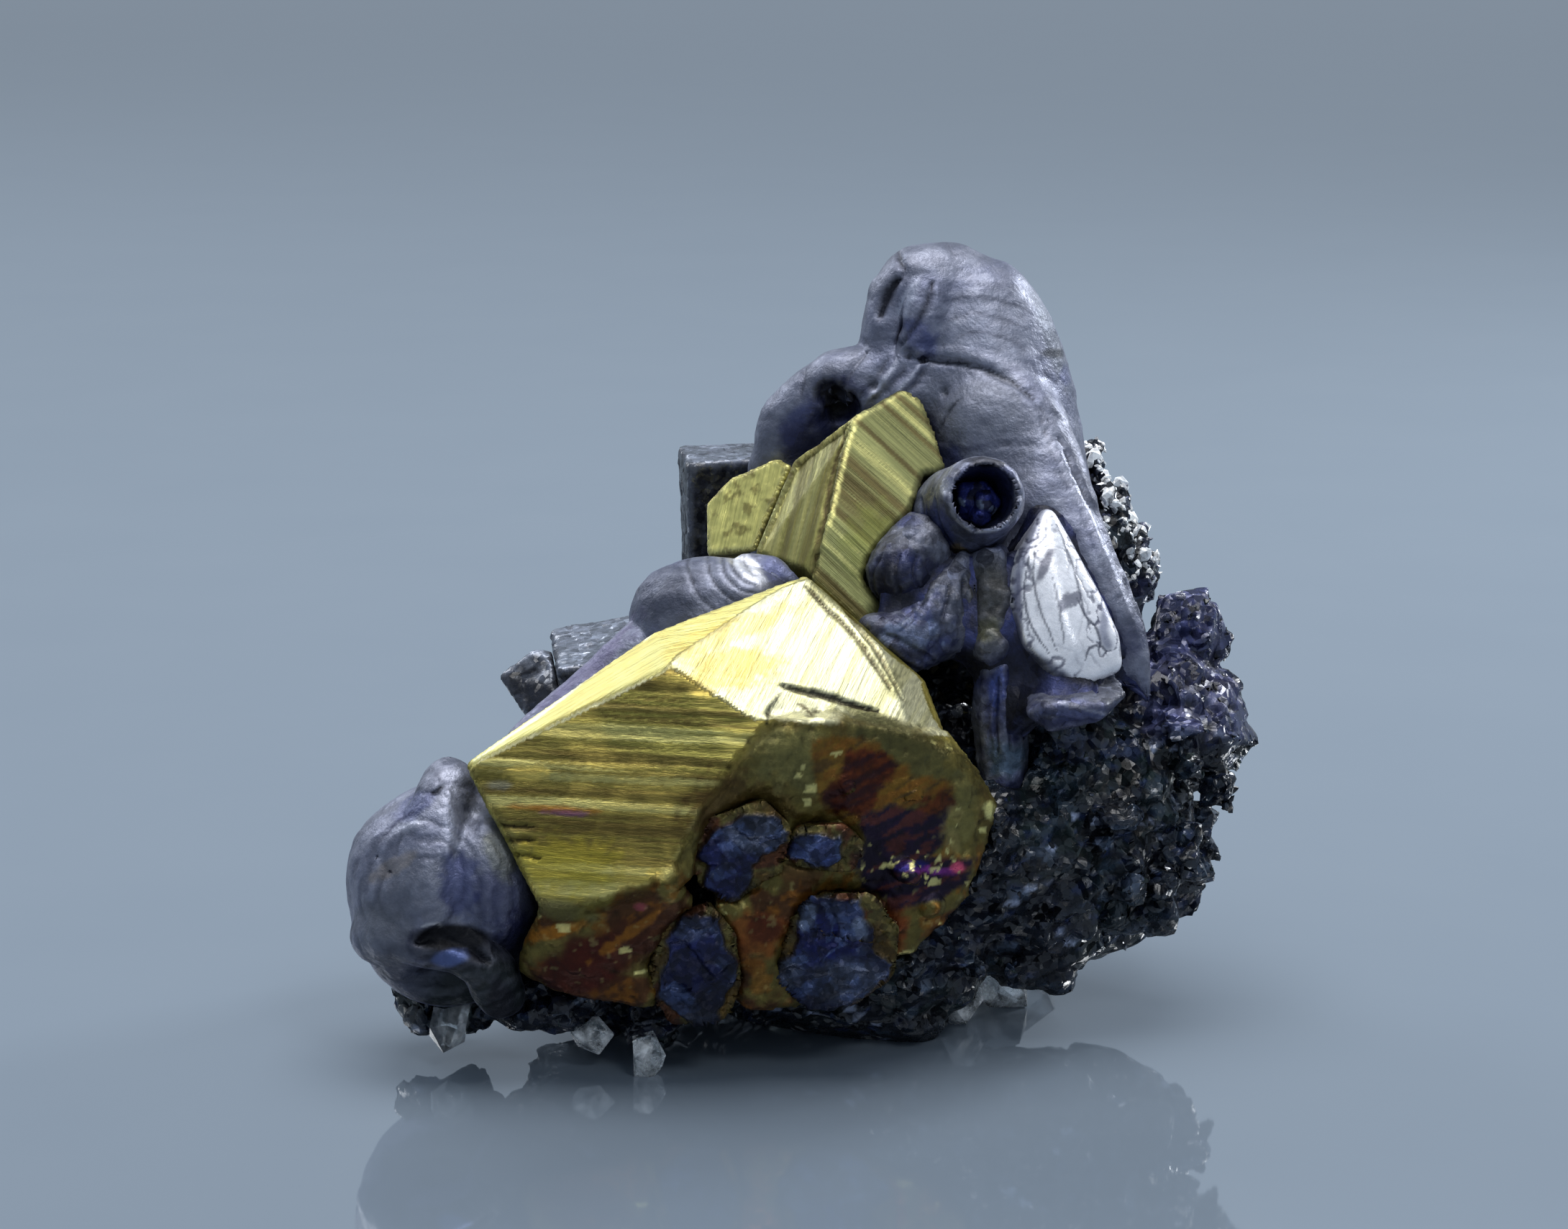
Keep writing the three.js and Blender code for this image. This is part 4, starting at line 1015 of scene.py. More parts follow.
def make_patches():
    axes = np.array(Euler((0.3, 0.5, 0.2)).to_matrix())
    for k, (node, patches) in enumerate(CLEAVED_PATCHES.items()):
        skin = fine_skin(node)
        skin.co[:, 1] += 0.45
        skin.smooth(2)
        skin.push(SEAM + 0.3 * smoothstep(0.75, 0.4, skin.facing) + 0.5 * uneven(skin.co * 0.5, 3, 70 + k))
        blue = skin.area(CLEAVED_OUTLINES[k], 10.0, 2.5, k)
        skin.push(0.1 * blue - 0.25 * (1 - blue))
        warp = np.stack([layered(skin.co * 0.5, 2, 75 + j) for j in range(3)], axis=1)
        local = skin.co @ axes.T + 1.6 * warp
        block = np.floor(local / np.array([1.9, 1.1, 2.4])).astype(np.int64)
        small = np.floor(local / np.array([0.7, 0.4, 1.4])).astype(np.int64)
        step = 0.3 * (chance(block, 80 + k) - 0.6) + 0.1 * (chance(small, 85 + k) - 0.5)
        for _ in range(2):
            step = 0.5 * (step + skin.mean(step))
        skin.push(step * skin.front)
        skin.colour(colour(30, 38, 66), 1.0, 0.5)
        skin.colour(colour(18, 23, 52), 0.8 * smoothstep(0.4, 0.6, layered(skin.co * 0.6, 3, 88 + k)))
        spots(skin, patches, 92 + k)
        skin.colour(NIGHT, 0.6 * smoothstep(0.5, 0.8, chance(block, 90 + k)), 0.4)
        skin.colour(colour(62, 76, 112), 0.6 * smoothstep(0.72, 0.8, chance(small, 94 + k)), 0.8)
        skin.colour(NIGHT, 0.6 * smoothstep(0.5, 0.6, layered(skin.co * 0.9, 3, 97 + k)), 0.3)
        hue = layered(skin.co * 0.6, 4, 101 + k)
        skin.colour(colour(80, 72, 36), 1 - blue, 0.25)
        skin.colour(BROWN, 0.7 * (1 - blue) * smoothstep(0.5, 0.6, hue))
        skin.colour(MAROON, 0.8 * (1 - blue) * smoothstep(0.46, 0.4, hue))
        skin.write(node.replace("galena_", "cleaved_"), CLEAVED, "cleaved_galena")


# Chalcopyrite

def ruled(grain, fine, seed, octaves=4, along=0.05):
    """Noise drawn out into long parallel lines, from 0 to 1. Only the spacing gets finer by octave."""
    total = np.zeros(len(grain))
    weight = 0.0
    for k in range(octaves):
        run = grain[:, 0] * along * 1.25 ** k
        across = grain[:, 1] * fine * 2.0 ** k
        total += noise(np.stack([run, across, grain[:, 2] * 0.15], axis=1), seed + k) * 0.6 ** k
        weight += 0.6 ** k
    return total / weight


def terraces(grain, seed, fine=1.1, levels=7, along=0.05):
    """Stepped ledges drawn out along the grain: heights from 0 to 1."""
    h = ruled(grain, fine, seed, 3, along) * levels
    whole = np.floor(h)
    return (whole + smoothstep(0.0, 0.3, h - whole)) / levels


def lay_grain(skin, faces):
    """Gives each face of a crystal its own run of striations: face direction, the striations' direction."""
    best = np.full(skin.n, -2.0)
    chosen = np.zeros(skin.n, dtype=int)
    soft = skin.normal.copy()
    for _ in range(6):
        soft = skin.mean(soft)
    soft /= np.linalg.norm(soft, axis=1)[:, None]
    for k, (face, along) in enumerate(faces):
        face = np.array(face) / np.linalg.norm(face)
        along = np.array(along, dtype=float)
        along -= face * (along @ face)
        along /= np.linalg.norm(along)
        across = np.cross(face, along)
        fit = soft @ face
        mine = fit > best
        best = np.where(mine, fit, best)
        chosen[mine] = k
        skin.grain[mine] = np.stack([skin.co @ along, skin.co @ across, skin.co @ face], axis=1)[mine]
    return chosen


# The line in the photo below which the front crystal is tarnished
TARNISH_EDGE = [(640, 1252), (725, 1262), (800, 1270), (930, 1220), (1000, 1090), (1060, 1010), (1110, 992),
                (1160, 990), (1260, 1012), (1330, 1040), (1400, 1080)]
LEFT_KNOB = (1175, 1082, 62, 56, 0, 0)
RIGHT_KNOB = (1268, 1092, 56, 50, 0, 0)
LOW_CORNER = (948, 1230, 36, 30, 0, 0)
PALE_RIM = (1334, 1150, 26, 56, 10, 0.4)
GLITTER = (1285, 1200, 100, 34)

# For each face of the crystal, the way it looks and the way its striations run
FRONT_FACES = [
    ((0.13, -0.93, 0.33), (1, 0, -0.07)),
    ((-0.4, -0.35, 0.85), (0.9, 0.1, 0.4)),
    ((0.05, -0.62, 0.78), (0.35, 0.5, 0.8)),
    ((0.45, -0.85, 0.2), (1, 0, -0.12)),
    ((-0.8, 0.1, 0.2), (0.2, 1, 0.1)),
    ((0.1, 0.9, -0.1), (1, 0.1, 0.1)),
    ((0.8, 0.3, 0.2), (0.1, 0.3, 1)),
    ((0.1, -0.6, -0.7), (1, 0, 0.1)),
]

FRONT_GROOVES = [
    (-0.3, 8, [(1084, 950), (1118, 960), (1151, 967), (1190, 980), (1224, 988)]),
    (-0.25, 26, [(1066, 990), (1100, 984), (1140, 992)]),
    (0.2, 12, [(1060, 1004), (1100, 1000), (1150, 1004), (1200, 1012), (1262, 1022)]),
    (-0.2, 5, [(690, 1168), (730, 1168), (748, 1170)]),
    (-0.2, 5, [(690, 1147), (728, 1148), (744, 1150)]),
    (-0.2, 5, [(695, 1190), (735, 1190), (752, 1192)]),
    (-0.2, 5, [(1120, 812), (1150, 846), (1190, 884), (1240, 960)]),
    (-0.15, 4, [(1140, 812), (1176, 850), (1216, 900), (1256, 972)]),
]

TARNISH_BANDS = [
    (colour(112, 80, 22), 0.35, 0.85, [(1129, 1024), (1199, 1027), (1241, 1051), (1273, 1080), (1321, 1083),
     (1330, 1099), (1295, 1122), (1247, 1122), (1199, 1138), (1177, 1143), (1143, 1122), (1127, 1083)]),
    (MAROON, 0.3, 0.95, [(1180, 1038), (1231, 1049), (1254, 1065), (1222, 1099), (1211, 1133), (1167, 1133),
     (1143, 1117), (1159, 1083)]),
    (MAROON, 0.3, 0.9, [(1290, 1109), (1328, 1097), (1330, 1122), (1305, 1138), (1262, 1133)]),
    (colour(24, 12, 40), 0.3, 0.97, [(1197, 1136), (1241, 1124), (1305, 1130), (1323, 1124), (1313, 1173),
     (1297, 1189), (1355, 1195), (1345, 1229), (1307, 1250), (1241, 1262), (1197, 1229), (1190, 1195),
     (1197, 1173)]),
]

# The dark line in the crack near 1084, 950 is painted shade; the near-white line along the crystal's upper
# edge and the lemon line beside it are painted highlights.
FRONT_LINES = [
    (NIGHT, 0.1, 0.95, 7, [(1084, 950), (1118, 960), (1151, 967), (1190, 980), (1224, 988)]),
    (NIGHT, 0.1, 0.9, 4, [(1064, 1006), (1070, 984), (1084, 962)]),
    (BROWN, 0.2, 0.8, 5, [(1108, 978), (1120, 984), (1128, 994)]),
    (colour(252, 250, 215), 0.8, 0.8, 4, [(652, 1062), (760, 986), (862, 908), (905, 884)]),
    (LEMON, 0.8, 0.7, 4, [(934, 924), (1000, 942), (1084, 950)]),
    (BROWN, 0.4, 0.8, 4, [(1120, 812), (1150, 846), (1190, 884), (1240, 960)]),
    (BROWN, 0.4, 0.7, 3, [(1140, 812), (1176, 850), (1216, 900), (1256, 972)]),
]

# Tones of the crystal and its tarnish, with a painted glint near 912, 1212.
FRONT_PATCHES = [
    (GOLD, 0.7, 0.7, 735, 1075, 40, 12, 0, 0.6),
    (OCHRE, 0.5, 0.8, 775, 1124, 64, 6, 3, 0.5),
    (VIOLET, 0.6, 0.35, 790, 1130, 46, 4, 3, 0.6),
    (colour(110, 112, 104), 0.5, 0.6, 696, 1091, 24, 8, 0, 0.5),
    (colour(168, 152, 46), 0.5, 0.55, 780, 1200, 90, 44, 0, 0.6),
    (GREY_OLIVE, 0.5, 0.6, 760, 1262, 80, 14, 8, 0.6),
    (GOLD, 0.9, 0.8, 912, 1212, 15, 6, 0, 0.4),
    (colour(150, 70, 80), 0.8, 0.6, 891, 1261, 11, 6, 0, 0.4),
    (GOLD, 0.7, 0.75, 1010, 930, 80, 34, -10, 0.6),
    (GOLD, 0.7, 0.6, 1010, 880, 90, 18, -20, 0.8),
    (GREY_OLIVE, 0.4, 0.7, 1146, 826, 30, 14, 40, 0.6),
    (GREY_OLIVE, 0.4, 0.5, 1230, 930, 12, 60, -30, 0.8),
    (PALE_GOLD, 0.7, 0.95, 1110, 988, 60, 16, 8, 0.3),
    (GREY_OLIVE, 0.5, 0.9, 1214, 996, 50, 12, 20, 0.3),
    (colour(102, 98, 56), 0.3, 0.8, 1120, 1060, 84, 50, 15, 0.5),
    (colour(84, 80, 44), 0.4, 0.8, 1250, 1050, 90, 50, 25, 0.5),
    (VIOLET, 0.9, 0.9, 1300, 1214, 38, 7, 4, 0.6),
    (colour(90, 20, 10), 0.6, 0.8, 1270, 1236, 60, 14, 0, 0.7),
    (colour(150, 104, 40), 0.8, 0.6, 1296, 1196, 50, 14, 0, 2.4),
    (colour(106, 100, 56), 0.6, 0.8, 1336, 1130, 26, 60, 0, 0.6),
    (LEMON, 0.9, 0.9, 1376, 1128, 9, 13, 0, 0.5),
    (MAROON, 0.5, 0.97, 820, 1340, 110, 44, -25, 0.3),
    (colour(60, 30, 14), 0.4, 0.7, 900, 1300, 70, 34, -30, 0.6),
    (OCHRE, 0.5, 0.8, 760, 1298, 70, 9, -14, 0.7),
    (OCHRE, 0.6, 0.6, 870, 1300, 60, 8, -35, 0.7),
    (colour(120, 62, 20), 0.6, 0.8, 1056, 1298, 50, 36, 0, 0.7),
    (MAROON, 0.5, 0.8, 1062, 1290, 26, 24, 0, 0.7),
    (colour(120, 50, 18), 0.6, 0.7, 1238, 1300, 30, 44, 0, 0.7),
    (BROWN, 0.3, 0.7, 1000, 1130, 50, 60, 0, 0.7),
]

TARNISH_GLINTS = [
    (VIOLET, 0.9, 0.9, 1300, 1210, 34, 6, 4, 0.6),
    (colour(200, 80, 110), 0.9, 0.9, 1330, 1206, 12, 9, 4, 0.6),
    (colour(30, 30, 110), 0.7, 0.7, 1262, 1204, 24, 9, 0, 0.6),
]


def make_front():
    skin = fine_skin("chalcopyrite_front")
    skin.smooth(4)
    skin.push(SEAM)
    chosen = lay_grain(skin, FRONT_FACES)
    x, y = skin.xy.T
    ragged = 30 * skin.field(2)
    edge = np.interp(x, *np.transpose(TARNISH_EDGE))
    tarnished = smoothstep(-12, 12, y + ragged - edge)
    skin.soften(70, tarnished * smoothstep(1600, 900, x))
    skin.soften(200, np.clip(skin.spot(*LEFT_KNOB) + skin.spot(*RIGHT_KNOB), 0, 1))
    behind = 1 - smoothstep(-0.1, 0.1, skin.facing)
    tarnished = tarnished * (1 - behind) + behind * smoothstep(13, 11, skin.co[:, 2])
    striated = (chosen == 0) * (1 - tarnished)
    ledges = terraces(skin.grain, 101, 0.55, 9)
    fine = terraces(skin.grain, 105, 2.4, 5)
    strong = 0.35 + 0.65 * smoothstep(1140, 1080, y)
    relief = striated * strong * (0.5 * (ledges - 0.5) + 0.22 * (fine - 0.5))
    relief += (1 - striated) * (1 - tarnished) * (0.14 * (ledges - 0.5) + 0.04 * (fine - 0.5))
    scaly = smoothstep(1200, 1300, y) + smoothstep(1290, 1340, x)
    broken, _ = facets(skin.co, 1.4, 110, 0.5)
    relief += tarnished * (uneven(skin.co * 0.26, 3, 111) + 0.35 * uneven(skin.co * 0.9, 4, 112))
    relief += tarnished * (0.15 + 0.2 * np.clip(scaly, 0, 1)) * broken
    scales, scale_id = facets(skin.co * np.array([1.0, 1.0, 1.6]), 0.7, 114, 0.9)
    relief += tarnished * (0.25 * scales + 0.12)
    relief += 0.35 * skin.spot(*LOW_CORNER)
    skin.push(relief)
    skin.carve(FRONT_GROOVES)
    skin.colour(OLIVE, 1.0, 0.55)
    lines = ruled(skin.grain, 1.6, 130, 4, 0.04)
    broad = ruled(skin.grain, 0.4, 137, 2, 0.03)
    is_striated = striated * skin.front
    thin = ruled(skin.grain, 3.4, 145, 2, 0.03)
    skin.colour(colour(112, 98, 44), 0.7 * is_striated * smoothstep(0.42, 0.58, broad), 0.5)
    skin.colour(LEMON, 0.4 * smoothstep(0.56, 0.64, lines) * is_striated, 0.8)
    skin.colour(BROWN, 0.6 * smoothstep(0.46, 0.38, lines) * is_striated, 0.3)
    skin.colour(BROWN, 0.7 * smoothstep(0.36, 0.28, thin) * is_striated * (0.4 + 0.6 * strong), 0.3)
    skin.colour(LEMON, 0.85 * (chosen == 1), 0.6)
    # Painted light: the top face is laid over with pale gold, as it looks where it catches the light.
    lit_top_face = (chosen == 2) * (1 - tarnished)
    skin.colour(PALE_GOLD, 0.92 * lit_top_face, 0.7)
    skin.colour(colour(190, 182, 108), 0.4 * lit_top_face * smoothstep(0.5, 0.42, lines), 0.5)
    clouds = layered(skin.co * 0.4, 4, 135)
    skin.colour(GOLD, 0.3 * smoothstep(0.5, 0.7, clouds) * (1 - tarnished) * (chosen != 2))
    hue = layered(skin.co * 0.4, 4, 140)
    mottle = layered(skin.co * 1.3, 4, 141)
    low = smoothstep(1150, 1240, y)
    skin.colour(colour(98, 88, 42), tarnished, 0.3)
    skin.colour(BROWN, 0.5 * tarnished * smoothstep(0.5, 0.62, mottle), 0.35)
    skin.colour(MAROON, 0.8 * tarnished * low * smoothstep(0.48, 0.58, hue), 0.4)
    skin.colour(OCHRE, 0.4 * tarnished * low * smoothstep(0.52, 0.62, mottle), 0.4)
    glints = smoothstep(0.70, 0.73, layered(skin.co * 2.6, 2, 142)) * tarnished
    spots(skin, FRONT_PATCHES)
    slanted = skin.co @ np.array([[0.5, 0, 1.2], [0, 0.5, 0], [-1.2, 0, 0.5]])
    streaks = layered(slanted * np.array([2.4, 0.6, 0.5]), 3, 147)
    for k, (tone, shine, strength, points) in enumerate(TARNISH_BANDS):
        mask = skin.area(points, 26.0, 5.0, k)
        skin.colour(tone, strength * mask, shine)
        skin.colour(NIGHT, 0.5 * mask * smoothstep(0.52, 0.6, streaks))
        skin.colour(colour(120, 60, 20), 0.3 * mask * smoothstep(0.46, 0.4, streaks))
    spots(skin, TARNISH_GLINTS, 151)
    skin.colour(colour(140, 128, 76), 0.5 * skin.spot(*PALE_RIM) * smoothstep(0.5, 0.58, mottle), 0.6)
    # Painted glints: the rarest scales of the tarnish are laid over with lemon.
    skin.colour(LEMON, 0.6 * tarnished * smoothstep(0.985, 0.99, scale_id), 0.9)
    drawn(skin, FRONT_LINES)
    skin.colour(LEMON, 0.8 * glints * np.clip(skin.spot(*GLITTER) + 0.15 * low, 0, 1), 0.9)
    painted_edge_light_and_hollow_shade(skin, 0.018, 0.12 * (1 - tarnished), 0.8, LEMON, BROWN * 0.3)
    mixed = tarnished[:, None]
    skin.grain = skin.grain * (1 - mixed) + mixed * skin.co / np.array(STREAK) * 1.6
    skin.write("chalcopyrite_crystal", BRASS, "chalcopyrite")


REAR_FACES = [
    ((0.75, -0.6, 0.3), (0.5, 0.2, -0.85)),
    ((-0.45, -0.8, 0.4), (0.15, 0.3, 0.95)),
    ((-0.7, 0.3, 0.6), (0.3, 0.6, 0.7)),
    ((0.2, 0.9, 0.2), (0.3, 0.1, 0.9)),
    ((0.1, -0.4, -0.9), (1, 0.1, 0.1)),
]

# The crease between the two front faces of the rear crystal
REAR_CREASE = [(1190, 545), (1176, 590), (1158, 660), (1141, 741), (1120, 860)]

REAR_GROOVES = [(-0.25, 6, [(1182, 586), (1160, 650), (1141, 741), (1128, 800)])]

REAR_PATCHES = [
    (LEMON, 0.8, 0.6, 1150, 600, 60, 10, -28, 0.6),
    (LEMON, 0.8, 0.5, 1090, 640, 50, 10, -30, 0.6),
    (colour(120, 124, 60), 0.5, 0.6, 1220, 760, 50, 60, 0, 0.6),
]

# The dark line in the crease groove is painted shade; the lemon line beside it is a painted highlight.
REAR_LINES = [
    (BROWN * 0.5, 0.2, 0.8, 5, [(1182, 586), (1160, 650), (1141, 741), (1128, 800)]),
    (LEMON, 0.9, 0.8, 4, [(1190, 590), (1172, 650), (1154, 738)]),
]


def make_rear_brass():
    skin = fine_skin("chalcopyrite_rear")
    skin.smooth(4)
    skin.push(SEAM)
    lay_grain(skin, REAR_FACES)
    x, y = skin.xy.T
    crease = np.interp(y, *np.transpose(REAR_CREASE)[::-1])
    left = smoothstep(6, -6, x - crease + 14 * skin.field(1)) * skin.front
    steep = np.array([0.25, 0.2, 0.95])
    slant = np.array([0.62, 0.1, -0.78])
    for share, run in ((left > 0.5, steep), ((left <= 0.5) & (skin.front > 0.2), slant)):
        face = np.array([0.1, -0.85, 0.5])
        run = run - face * (run @ face)
        run /= np.linalg.norm(run)
        across = np.cross(face, run)
        skin.grain[share] = np.stack([skin.co @ run, skin.co @ across, skin.co @ face], axis=1)[share]
    ledges = terraces(skin.grain, 151, 0.7, 8)
    fine = terraces(skin.grain, 155, 2.6, 5)
    skin.push(0.35 * (ledges - 0.5) + 0.12 * (fine - 0.5) - 0.35 * left)
    skin.carve(REAR_GROOVES)
    skin.colour(colour(130, 131, 84), 1.0, 0.5)
    lines = ruled(skin.grain, 1.8, 160)
    skin.colour(LEMON, 0.45 * smoothstep(0.54, 0.64, lines), 0.7)
    skin.colour(BROWN, 0.7 * smoothstep(0.48, 0.38, lines), 0.3)
    # Painted shade: the left face of the rear crystal is laid over with a darker olive.
    skin.colour(colour(104, 100, 46), 0.7 * left)
    spots(skin, REAR_PATCHES)
    drawn(skin, REAR_LINES)
    painted_edge_light_and_hollow_shade(skin, 0.014, 0.08, 0.5, LEMON, BROWN * 0.5)
    skin.write("rear_chalcopyrite", BRASS, "chalcopyrite")
    plate = fine_skin("chalcopyrite_rear_plate")
    plate.smooth(3)
    plate.push(SEAM)
    lay_grain(plate, REAR_FACES)
    ledges = terraces(plate.grain, 165, 1.2, 6)
    plate.push(0.15 * (ledges - 0.5) + 0.12 * uneven(plate.co * 1.6, 3, 166))
    plate.colour(colour(214, 206, 124), 1.0, 0.7)
    plate.colour(BROWN, 0.6 * smoothstep(0.53, 0.66, layered(plate.co * 1.8, 4, 167)), 0.4)
    painted_edge_light_and_hollow_shade(plate, 0.012, 0.1, 0.5, PALE_GOLD, BROWN * 0.5)
    plate.write("rear_chalcopyrite_plate", BRASS, "chalcopyrite")


# Sphalerite

def others_tree(skip):
    """A search tree of every CAD node but one."""
    bm = bmesh.new()
    for name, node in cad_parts.items():
        if name != skip:
            bm.from_mesh(node.data)
    tree = BVHTree.FromBMesh(bm)
    bm.free()
    return tree


BULGE = np.array([16.0, -1.5, 5.5])  # the middle of the bulge at the right, in mm

# The steel streak near 1750, 950 is a painted glint.
MASS_PATCHES = [
    (colour(36, 52, 44), 0.6, 0.6, 590, 1372, 40, 36, 0, 0.6),
    (colour(44, 52, 84), 0.7, 0.6, 1494, 1038, 36, 26, 0, 0.5),
    (colour(44, 52, 84), 0.7, 0.6, 1562, 1042, 30, 18, 0, 0.5),
    (STEEL, 0.9, 0.7, 1750, 950, 8, 26, 0, 1.0),
]


MASS_LINES = [(NIGHT, 0.1, 0.9, 4, [(1463 + 12 * k, 1016 + 2 * k), (1468 + 12 * k, 1060)]) for k in range(5)]


def make_mass():
    skin = fine_skin("sphalerite_mass")
    skin.smooth(2)
    skin.push(SEAM - 0.05)
    layers = skin.co * np.array([1.0, 1.0, 1.7])
    big, _ = facets(layers, 2.6, 201, 0.9)
    mid, mid_id = facets(layers, 1.2, 211, 0.9)
    small, small_id = facets(layers, 0.6, 221, 0.8)
    lifted = smoothstep(0.2, 1.6, skin.co[:, 2])
    x, y = skin.xy.T
    shoulder = smoothstep(1560, 1610, x) * smoothstep(1045, 1000, y) * smoothstep(790, 820, y) * skin.front
    bulge = np.exp(-((skin.co - BULGE) ** 2).sum(axis=1) / (2 * 3.6 ** 2))
    relief = 1.9 * bulge + 0.65 * big + (0.4 * mid + 0.25 * small) * (1 - 0.7 * shoulder) - 0.15
    skin.push(relief * (0.15 + 0.85 * lifted))
    skin.soften(1)
    skin.colour(BLACK_BLUE, 1.0, 0.6)
    skin.colour(GREEN_BLACK, 0.7 * smoothstep(0.45, 0.62, layered(skin.co * 0.3, 3, 230)), 0.4)
    # Random facets get lighter blue-grey as painted highlights and the rarest small ones near-white as
    # painted glints; others are darkened.
    skin.colour(colour(40, 52, 66), 0.6 * smoothstep(0.8, 0.86, mid_id), 0.95)
    skin.colour(colour(36, 48, 84), 0.6 * smoothstep(0.86, 0.92, small_id), 0.95)
    skin.colour(colour(84, 96, 116), 0.5 * smoothstep(0.95, 0.97, mid_id), 1.0)
    skin.colour(NIGHT, 0.7 * smoothstep(0.3, 0.22, mid_id), 0.3)
    skin.colour(colour(150, 160, 185), 0.8 * smoothstep(0.985, 0.99, small_id), 1.0)
    coat = smoothstep(0.2, 0.4, layered(skin.co * 0.8, 4, 233))
    pale = smoothstep(0.6, 0.66, layered(skin.co * 1.1, 4, 234))
    skin.colour(colour(56, 60, 96), 0.9 * shoulder * coat, 0.5)
    skin.colour(colour(90, 92, 122), 0.6 * shoulder * pale, 0.6)
    pits = smoothstep(0.66, 0.7, layered(skin.co * 2.2, 3, 235)) * shoulder
    skin.push(-0.15 * pits)
    # Painted shade in the pits.
    skin.colour(NIGHT, 0.8 * pits, 0.2)
    spots(skin, MASS_PATCHES)
    drawn(skin, MASS_LINES)
    painted_edge_light_and_hollow_shade(skin, 0.044, 0.25, 0.7, colour(46, 56, 74))
    skin.write("sphalerite_body", BLACK, "sphalerite")
    return skin


CHIP_COLOURS = [BLACK_BLUE, GREEN_BLACK, colour(30, 38, 52), BLACK_BLUE]
# The druse grains are mostly painted near-white as painted glints; the first tone is their own dark grey.
DRUSE_AND_GLINT_COLOURS = [colour(80, 84, 104), colour(246, 248, 252), colour(250, 250, 252), colour(240, 244, 250)]


def chips(name, skin, where, count, sizes, material, tones, seed, tree, shines, sink):
    """Small broken crystals grown on a surface, as one joined piece."""
    random = np.random.default_rng(seed)
    pick = np.flatnonzero(where)
    bm = bmesh.new()
    paint = bm.verts.layers.float_color.new("paint")
    made = 0
    for index in random.permutation(pick):
        if made >= count:
            break
        spot, normal = skin.co[index], skin.normal[index]
        size = sizes[0] + (sizes[1] - sizes[0]) * random.random() ** 2
        turn = Euler(random.uniform(0, 2 * math.pi, 3)).to_matrix()
        stretch = random.uniform(0.4, 1.3, 3) * size
        tone = tones[random.integers(len(tones))] * random.uniform(0.5, 1.5)
        shine = random.uniform(*shines)
        centre = spot - normal * size * sink
        jitter = random.uniform(-0.25, 0.25, (12, 3))
        if centre[2] < size * 1.5:
            continue
        near = tree.find_nearest(Vector(spot * MM))
        if near[0] is not None and near[3] < (0.25 + size * 0.6) * MM:
            continue
        made += 1
        shape = bmesh.ops.create_icosphere(bm, subdivisions=1, radius=1.0)
        shaped = (turn @ Matrix.Diagonal(Vector(stretch * MM))).to_4x4()
        matrix = Matrix.Translation(Vector(centre * MM)) @ shaped
        for vertex, move in zip(shape["verts"], jitter):
            vertex.co = matrix @ (vertex.co + Vector(move))
            vertex[paint] = (*np.clip(tone, 0, 1), shine)
    mesh = bpy.data.meshes.new(name)
    bm.to_mesh(mesh)
    bm.free()
    mesh.materials.append(material)
    return place(bpy.data.objects.new(name, mesh))


def make_chips(mass):
    x, y = mass.xy.T
    up = mass.co[:, 2]
    tree = others_tree("sphalerite_mass")
    rear_right = (x > 1455) & (x < 1650) & (y > 520) & (y < 812)
    shoulder = (x > 1590) & (y > 800) & (y < 1030) & (mass.facing > 0)
    rng = np.random.default_rng(7)
    sparse = rng.random(mass.n) < 0.15
    body = (up > 0.8) & ~rear_right & (~shoulder | sparse)
    chips("sphalerite_chips", mass, body, 3600, (0.15, 0.42), BLACK,
          CHIP_COLOURS, 301, tree, (0.1, 0.9), 0.75)
    chips("druse_grains", mass, rear_right & (up > 14), 620, (0.2, 0.6), SPARKLE,
          DRUSE_AND_GLINT_COLOURS, 311, tree, (0.4, 1.0), 0.5)


# Dark crystals at the left rear

REAR_BLOCKS = ("rear_block_tall", "rear_block_round", "rear_plate_upper", "rear_plate_lower")


def make_rear_blocks():
    for k, node in enumerate(REAR_BLOCKS):
        skin = fine_skin(node)
        skin.smooth(2)
        skin.push(SEAM)
        lift, _ = facets(skin.co, 1.1, 400 + 10 * k, 0.5)
        skin.push(0.3 * lift + 0.15 * uneven(skin.co * 1.4, 4, 410 + k))
        skin.colour(colour(40, 42, 52), 1.0, 0.6)
        skin.colour(colour(20, 21, 28), smoothstep(0.42, 0.6, layered(skin.co * 0.6, 4, 420 + k)), 0.4)
        # Painted reflection: the faces that look up are laid over with pale grey-blue.
        skin.colour(colour(120, 126, 140), 0.8 * smoothstep(0.6, 0.9, skin.normal[:, 2]), 0.95)
        flecks = smoothstep(0.62, 0.7, layered(skin.co * 2.4, 3, 430 + k))
        skin.colour(colour(90, 92, 100), 0.5 * flecks, 0.9)
        painted_edge_light_and_hollow_shade(skin, 0.017, 0.35, 0.8, colour(110, 114, 126))
        skin.write(node.replace("rear_", "dark_rear_"), DARK, "dark_crystal")


# Quartz

QUARTZ_PIECES = [
    ("quartz_underside", "milky_underside", QUARTZ, "quartz", 0.12),
    ("quartz_foot_a", "milky_foot_left", QUARTZ, "quartz", 0.08),
    ("quartz_foot_b", "milky_foot_right", QUARTZ, "quartz", 0.08),
    ("quartz_clear_crystal", "clear_crystal", CLEAR, "clear_quartz", 0.06),
]


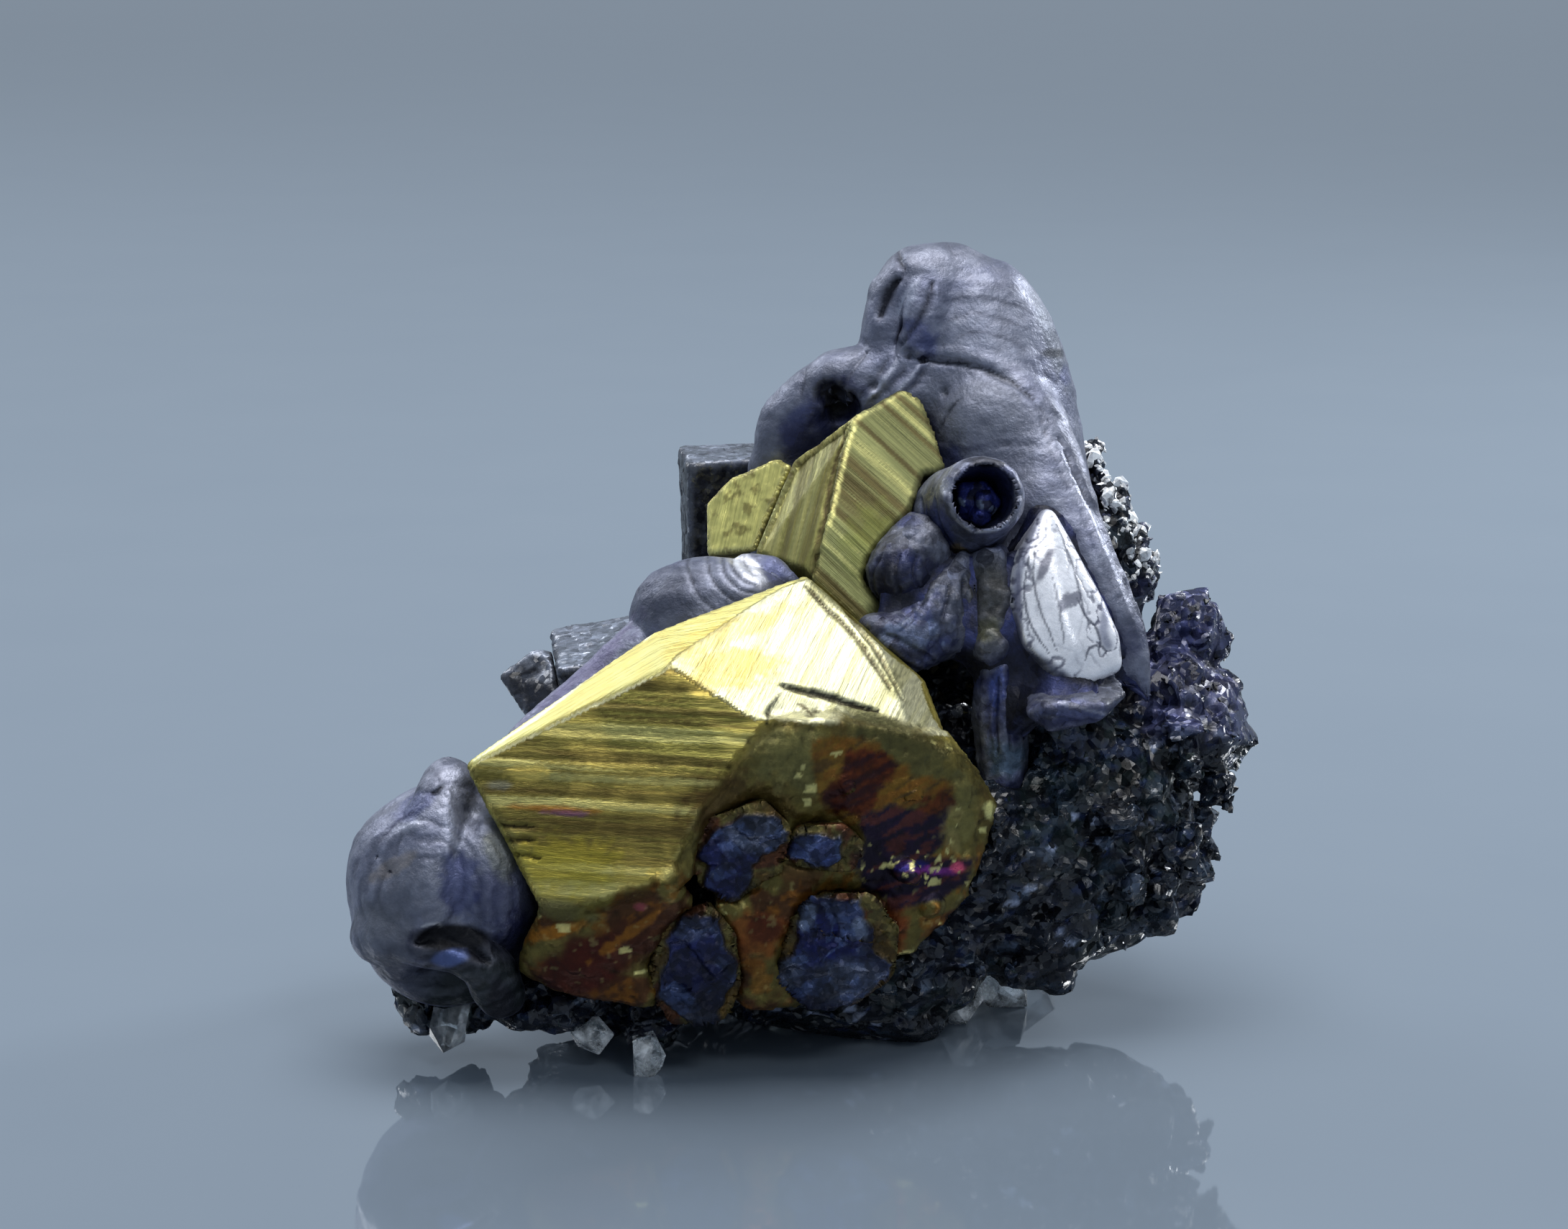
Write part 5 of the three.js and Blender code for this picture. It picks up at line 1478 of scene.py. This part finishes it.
def make_quartz():
    for node, name, material, slot, width in QUARTZ_PIECES:
        bm = bmesh.new()
        bm.from_mesh(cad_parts[node].data)
        bmesh.ops.remove_doubles(bm, verts=bm.verts, dist=1e-7)
        sharp = [e for e in bm.edges if e.is_manifold and e.calc_face_angle(0) > math.radians(20)]
        bmesh.ops.bevel(bm, geom=sharp, offset=width * MM, offset_type="OFFSET", affect="EDGES", segments=2,
                        profile=0.5, material=-1, clamp_overlap=True)
        mesh = bpy.data.meshes.new(name)
        bm.to_mesh(mesh)
        bm.free()
        mesh.materials.append(material)
        place(bpy.data.objects.new(name, mesh), [node])


# Floor, light and camera

def make_stage():
    bm = bmesh.new()
    bmesh.ops.create_grid(bm, x_segments=1, y_segments=1, size=4.0)
    mesh = bpy.data.meshes.new("floor")
    bm.to_mesh(mesh)
    bm.free()
    material = bpy.data.materials.new("pale floor")
    material.use_nodes = True
    tree = material.node_tree
    shader = tree.nodes["Principled BSDF"]
    where = add(tree, "ShaderNodeTexCoord").outputs["Object"]
    cloud = grains(tree, where, 60.0, 3.0, 0.5)
    tone = blended(tree, cloud, (0.165, 0.205, 0.256, 1), (0.18, 0.22, 0.27, 1))
    tree.links.new(tone, shader.inputs["Base Color"])
    tree.links.new(mapped(tree, cloud, 0.3, 0.7, 0.02, 0.05), shader.inputs["Roughness"])
    shader.inputs["IOR"].default_value = 2.6
    mesh.materials.append(material)
    floor = bpy.data.objects.new("floor", mesh)
    bpy.context.scene.collection.objects.link(floor)
    world = bpy.data.worlds.new("studio")
    world.use_nodes = True
    world.node_tree.nodes["Background"].inputs["Color"].default_value = (0.5, 0.6, 0.72, 1)
    world.node_tree.nodes["Background"].inputs["Strength"].default_value = 0.6
    bpy.context.scene.world = world
    bpy.context.scene.view_settings.view_transform = "Standard"


def area_light(name, spot, aim, size, energy, tint):
    light = bpy.data.lights.new(name, "AREA")
    light.shape = "RECTANGLE"
    light.size, light.size_y = size
    light.energy = energy
    light.color = tint
    obj = bpy.data.objects.new(name, light)
    obj.location = Vector(spot)
    obj.rotation_euler = (Vector(aim) - Vector(spot)).to_track_quat("-Z", "Y").to_euler()
    bpy.context.scene.collection.objects.link(obj)


def make_lights():
    centre = (0, 0, 0.02)
    area_light("overhead softbox", (0.0, 0.04, 0.5), centre, (0.4, 0.34), 2.6, (1.0, 0.99, 0.97))
    area_light("rear left softbox", (-0.3, 0.34, 0.3), centre, (0.2, 0.2), 0.8, (0.94, 0.97, 1.0))
    upper_right = (0.014, -0.005, 0.025)
    area_light("front top softbox", (0.16, -0.32, 0.36), upper_right, (0.1, 0.1), 0.35, (0.95, 0.98, 1.0))
    area_light("rear rim", (0.24, 0.2, 0.16), centre, (0.06, 0.06), 0.6, (0.95, 0.98, 1.0))


def make_camera():
    data = bpy.data.cameras.new("camera")
    data.sensor_width = 36.0
    data.lens = 18.0 / (PHOTO_CENTRE[0] * PIXEL_MM / CAMERA_DISTANCE)
    data.clip_start, data.clip_end = 0.01, 20.0
    camera = bpy.data.objects.new("camera", data)
    camera.location = Vector(EYE * MM)
    camera.rotation_euler = (math.radians(90) - CAMERA_TILT, 0, 0)
    bpy.context.scene.collection.objects.link(camera)
    bpy.context.scene.camera = camera


make_main()
make_fillets()
make_ball()
make_crust()
make_galena_pieces()
make_wedge()
make_patches()
make_front()
make_rear_brass()
mass = make_mass()
make_chips(mass)
make_rear_blocks()
make_quartz()
make_stage()
make_lights()
make_camera()
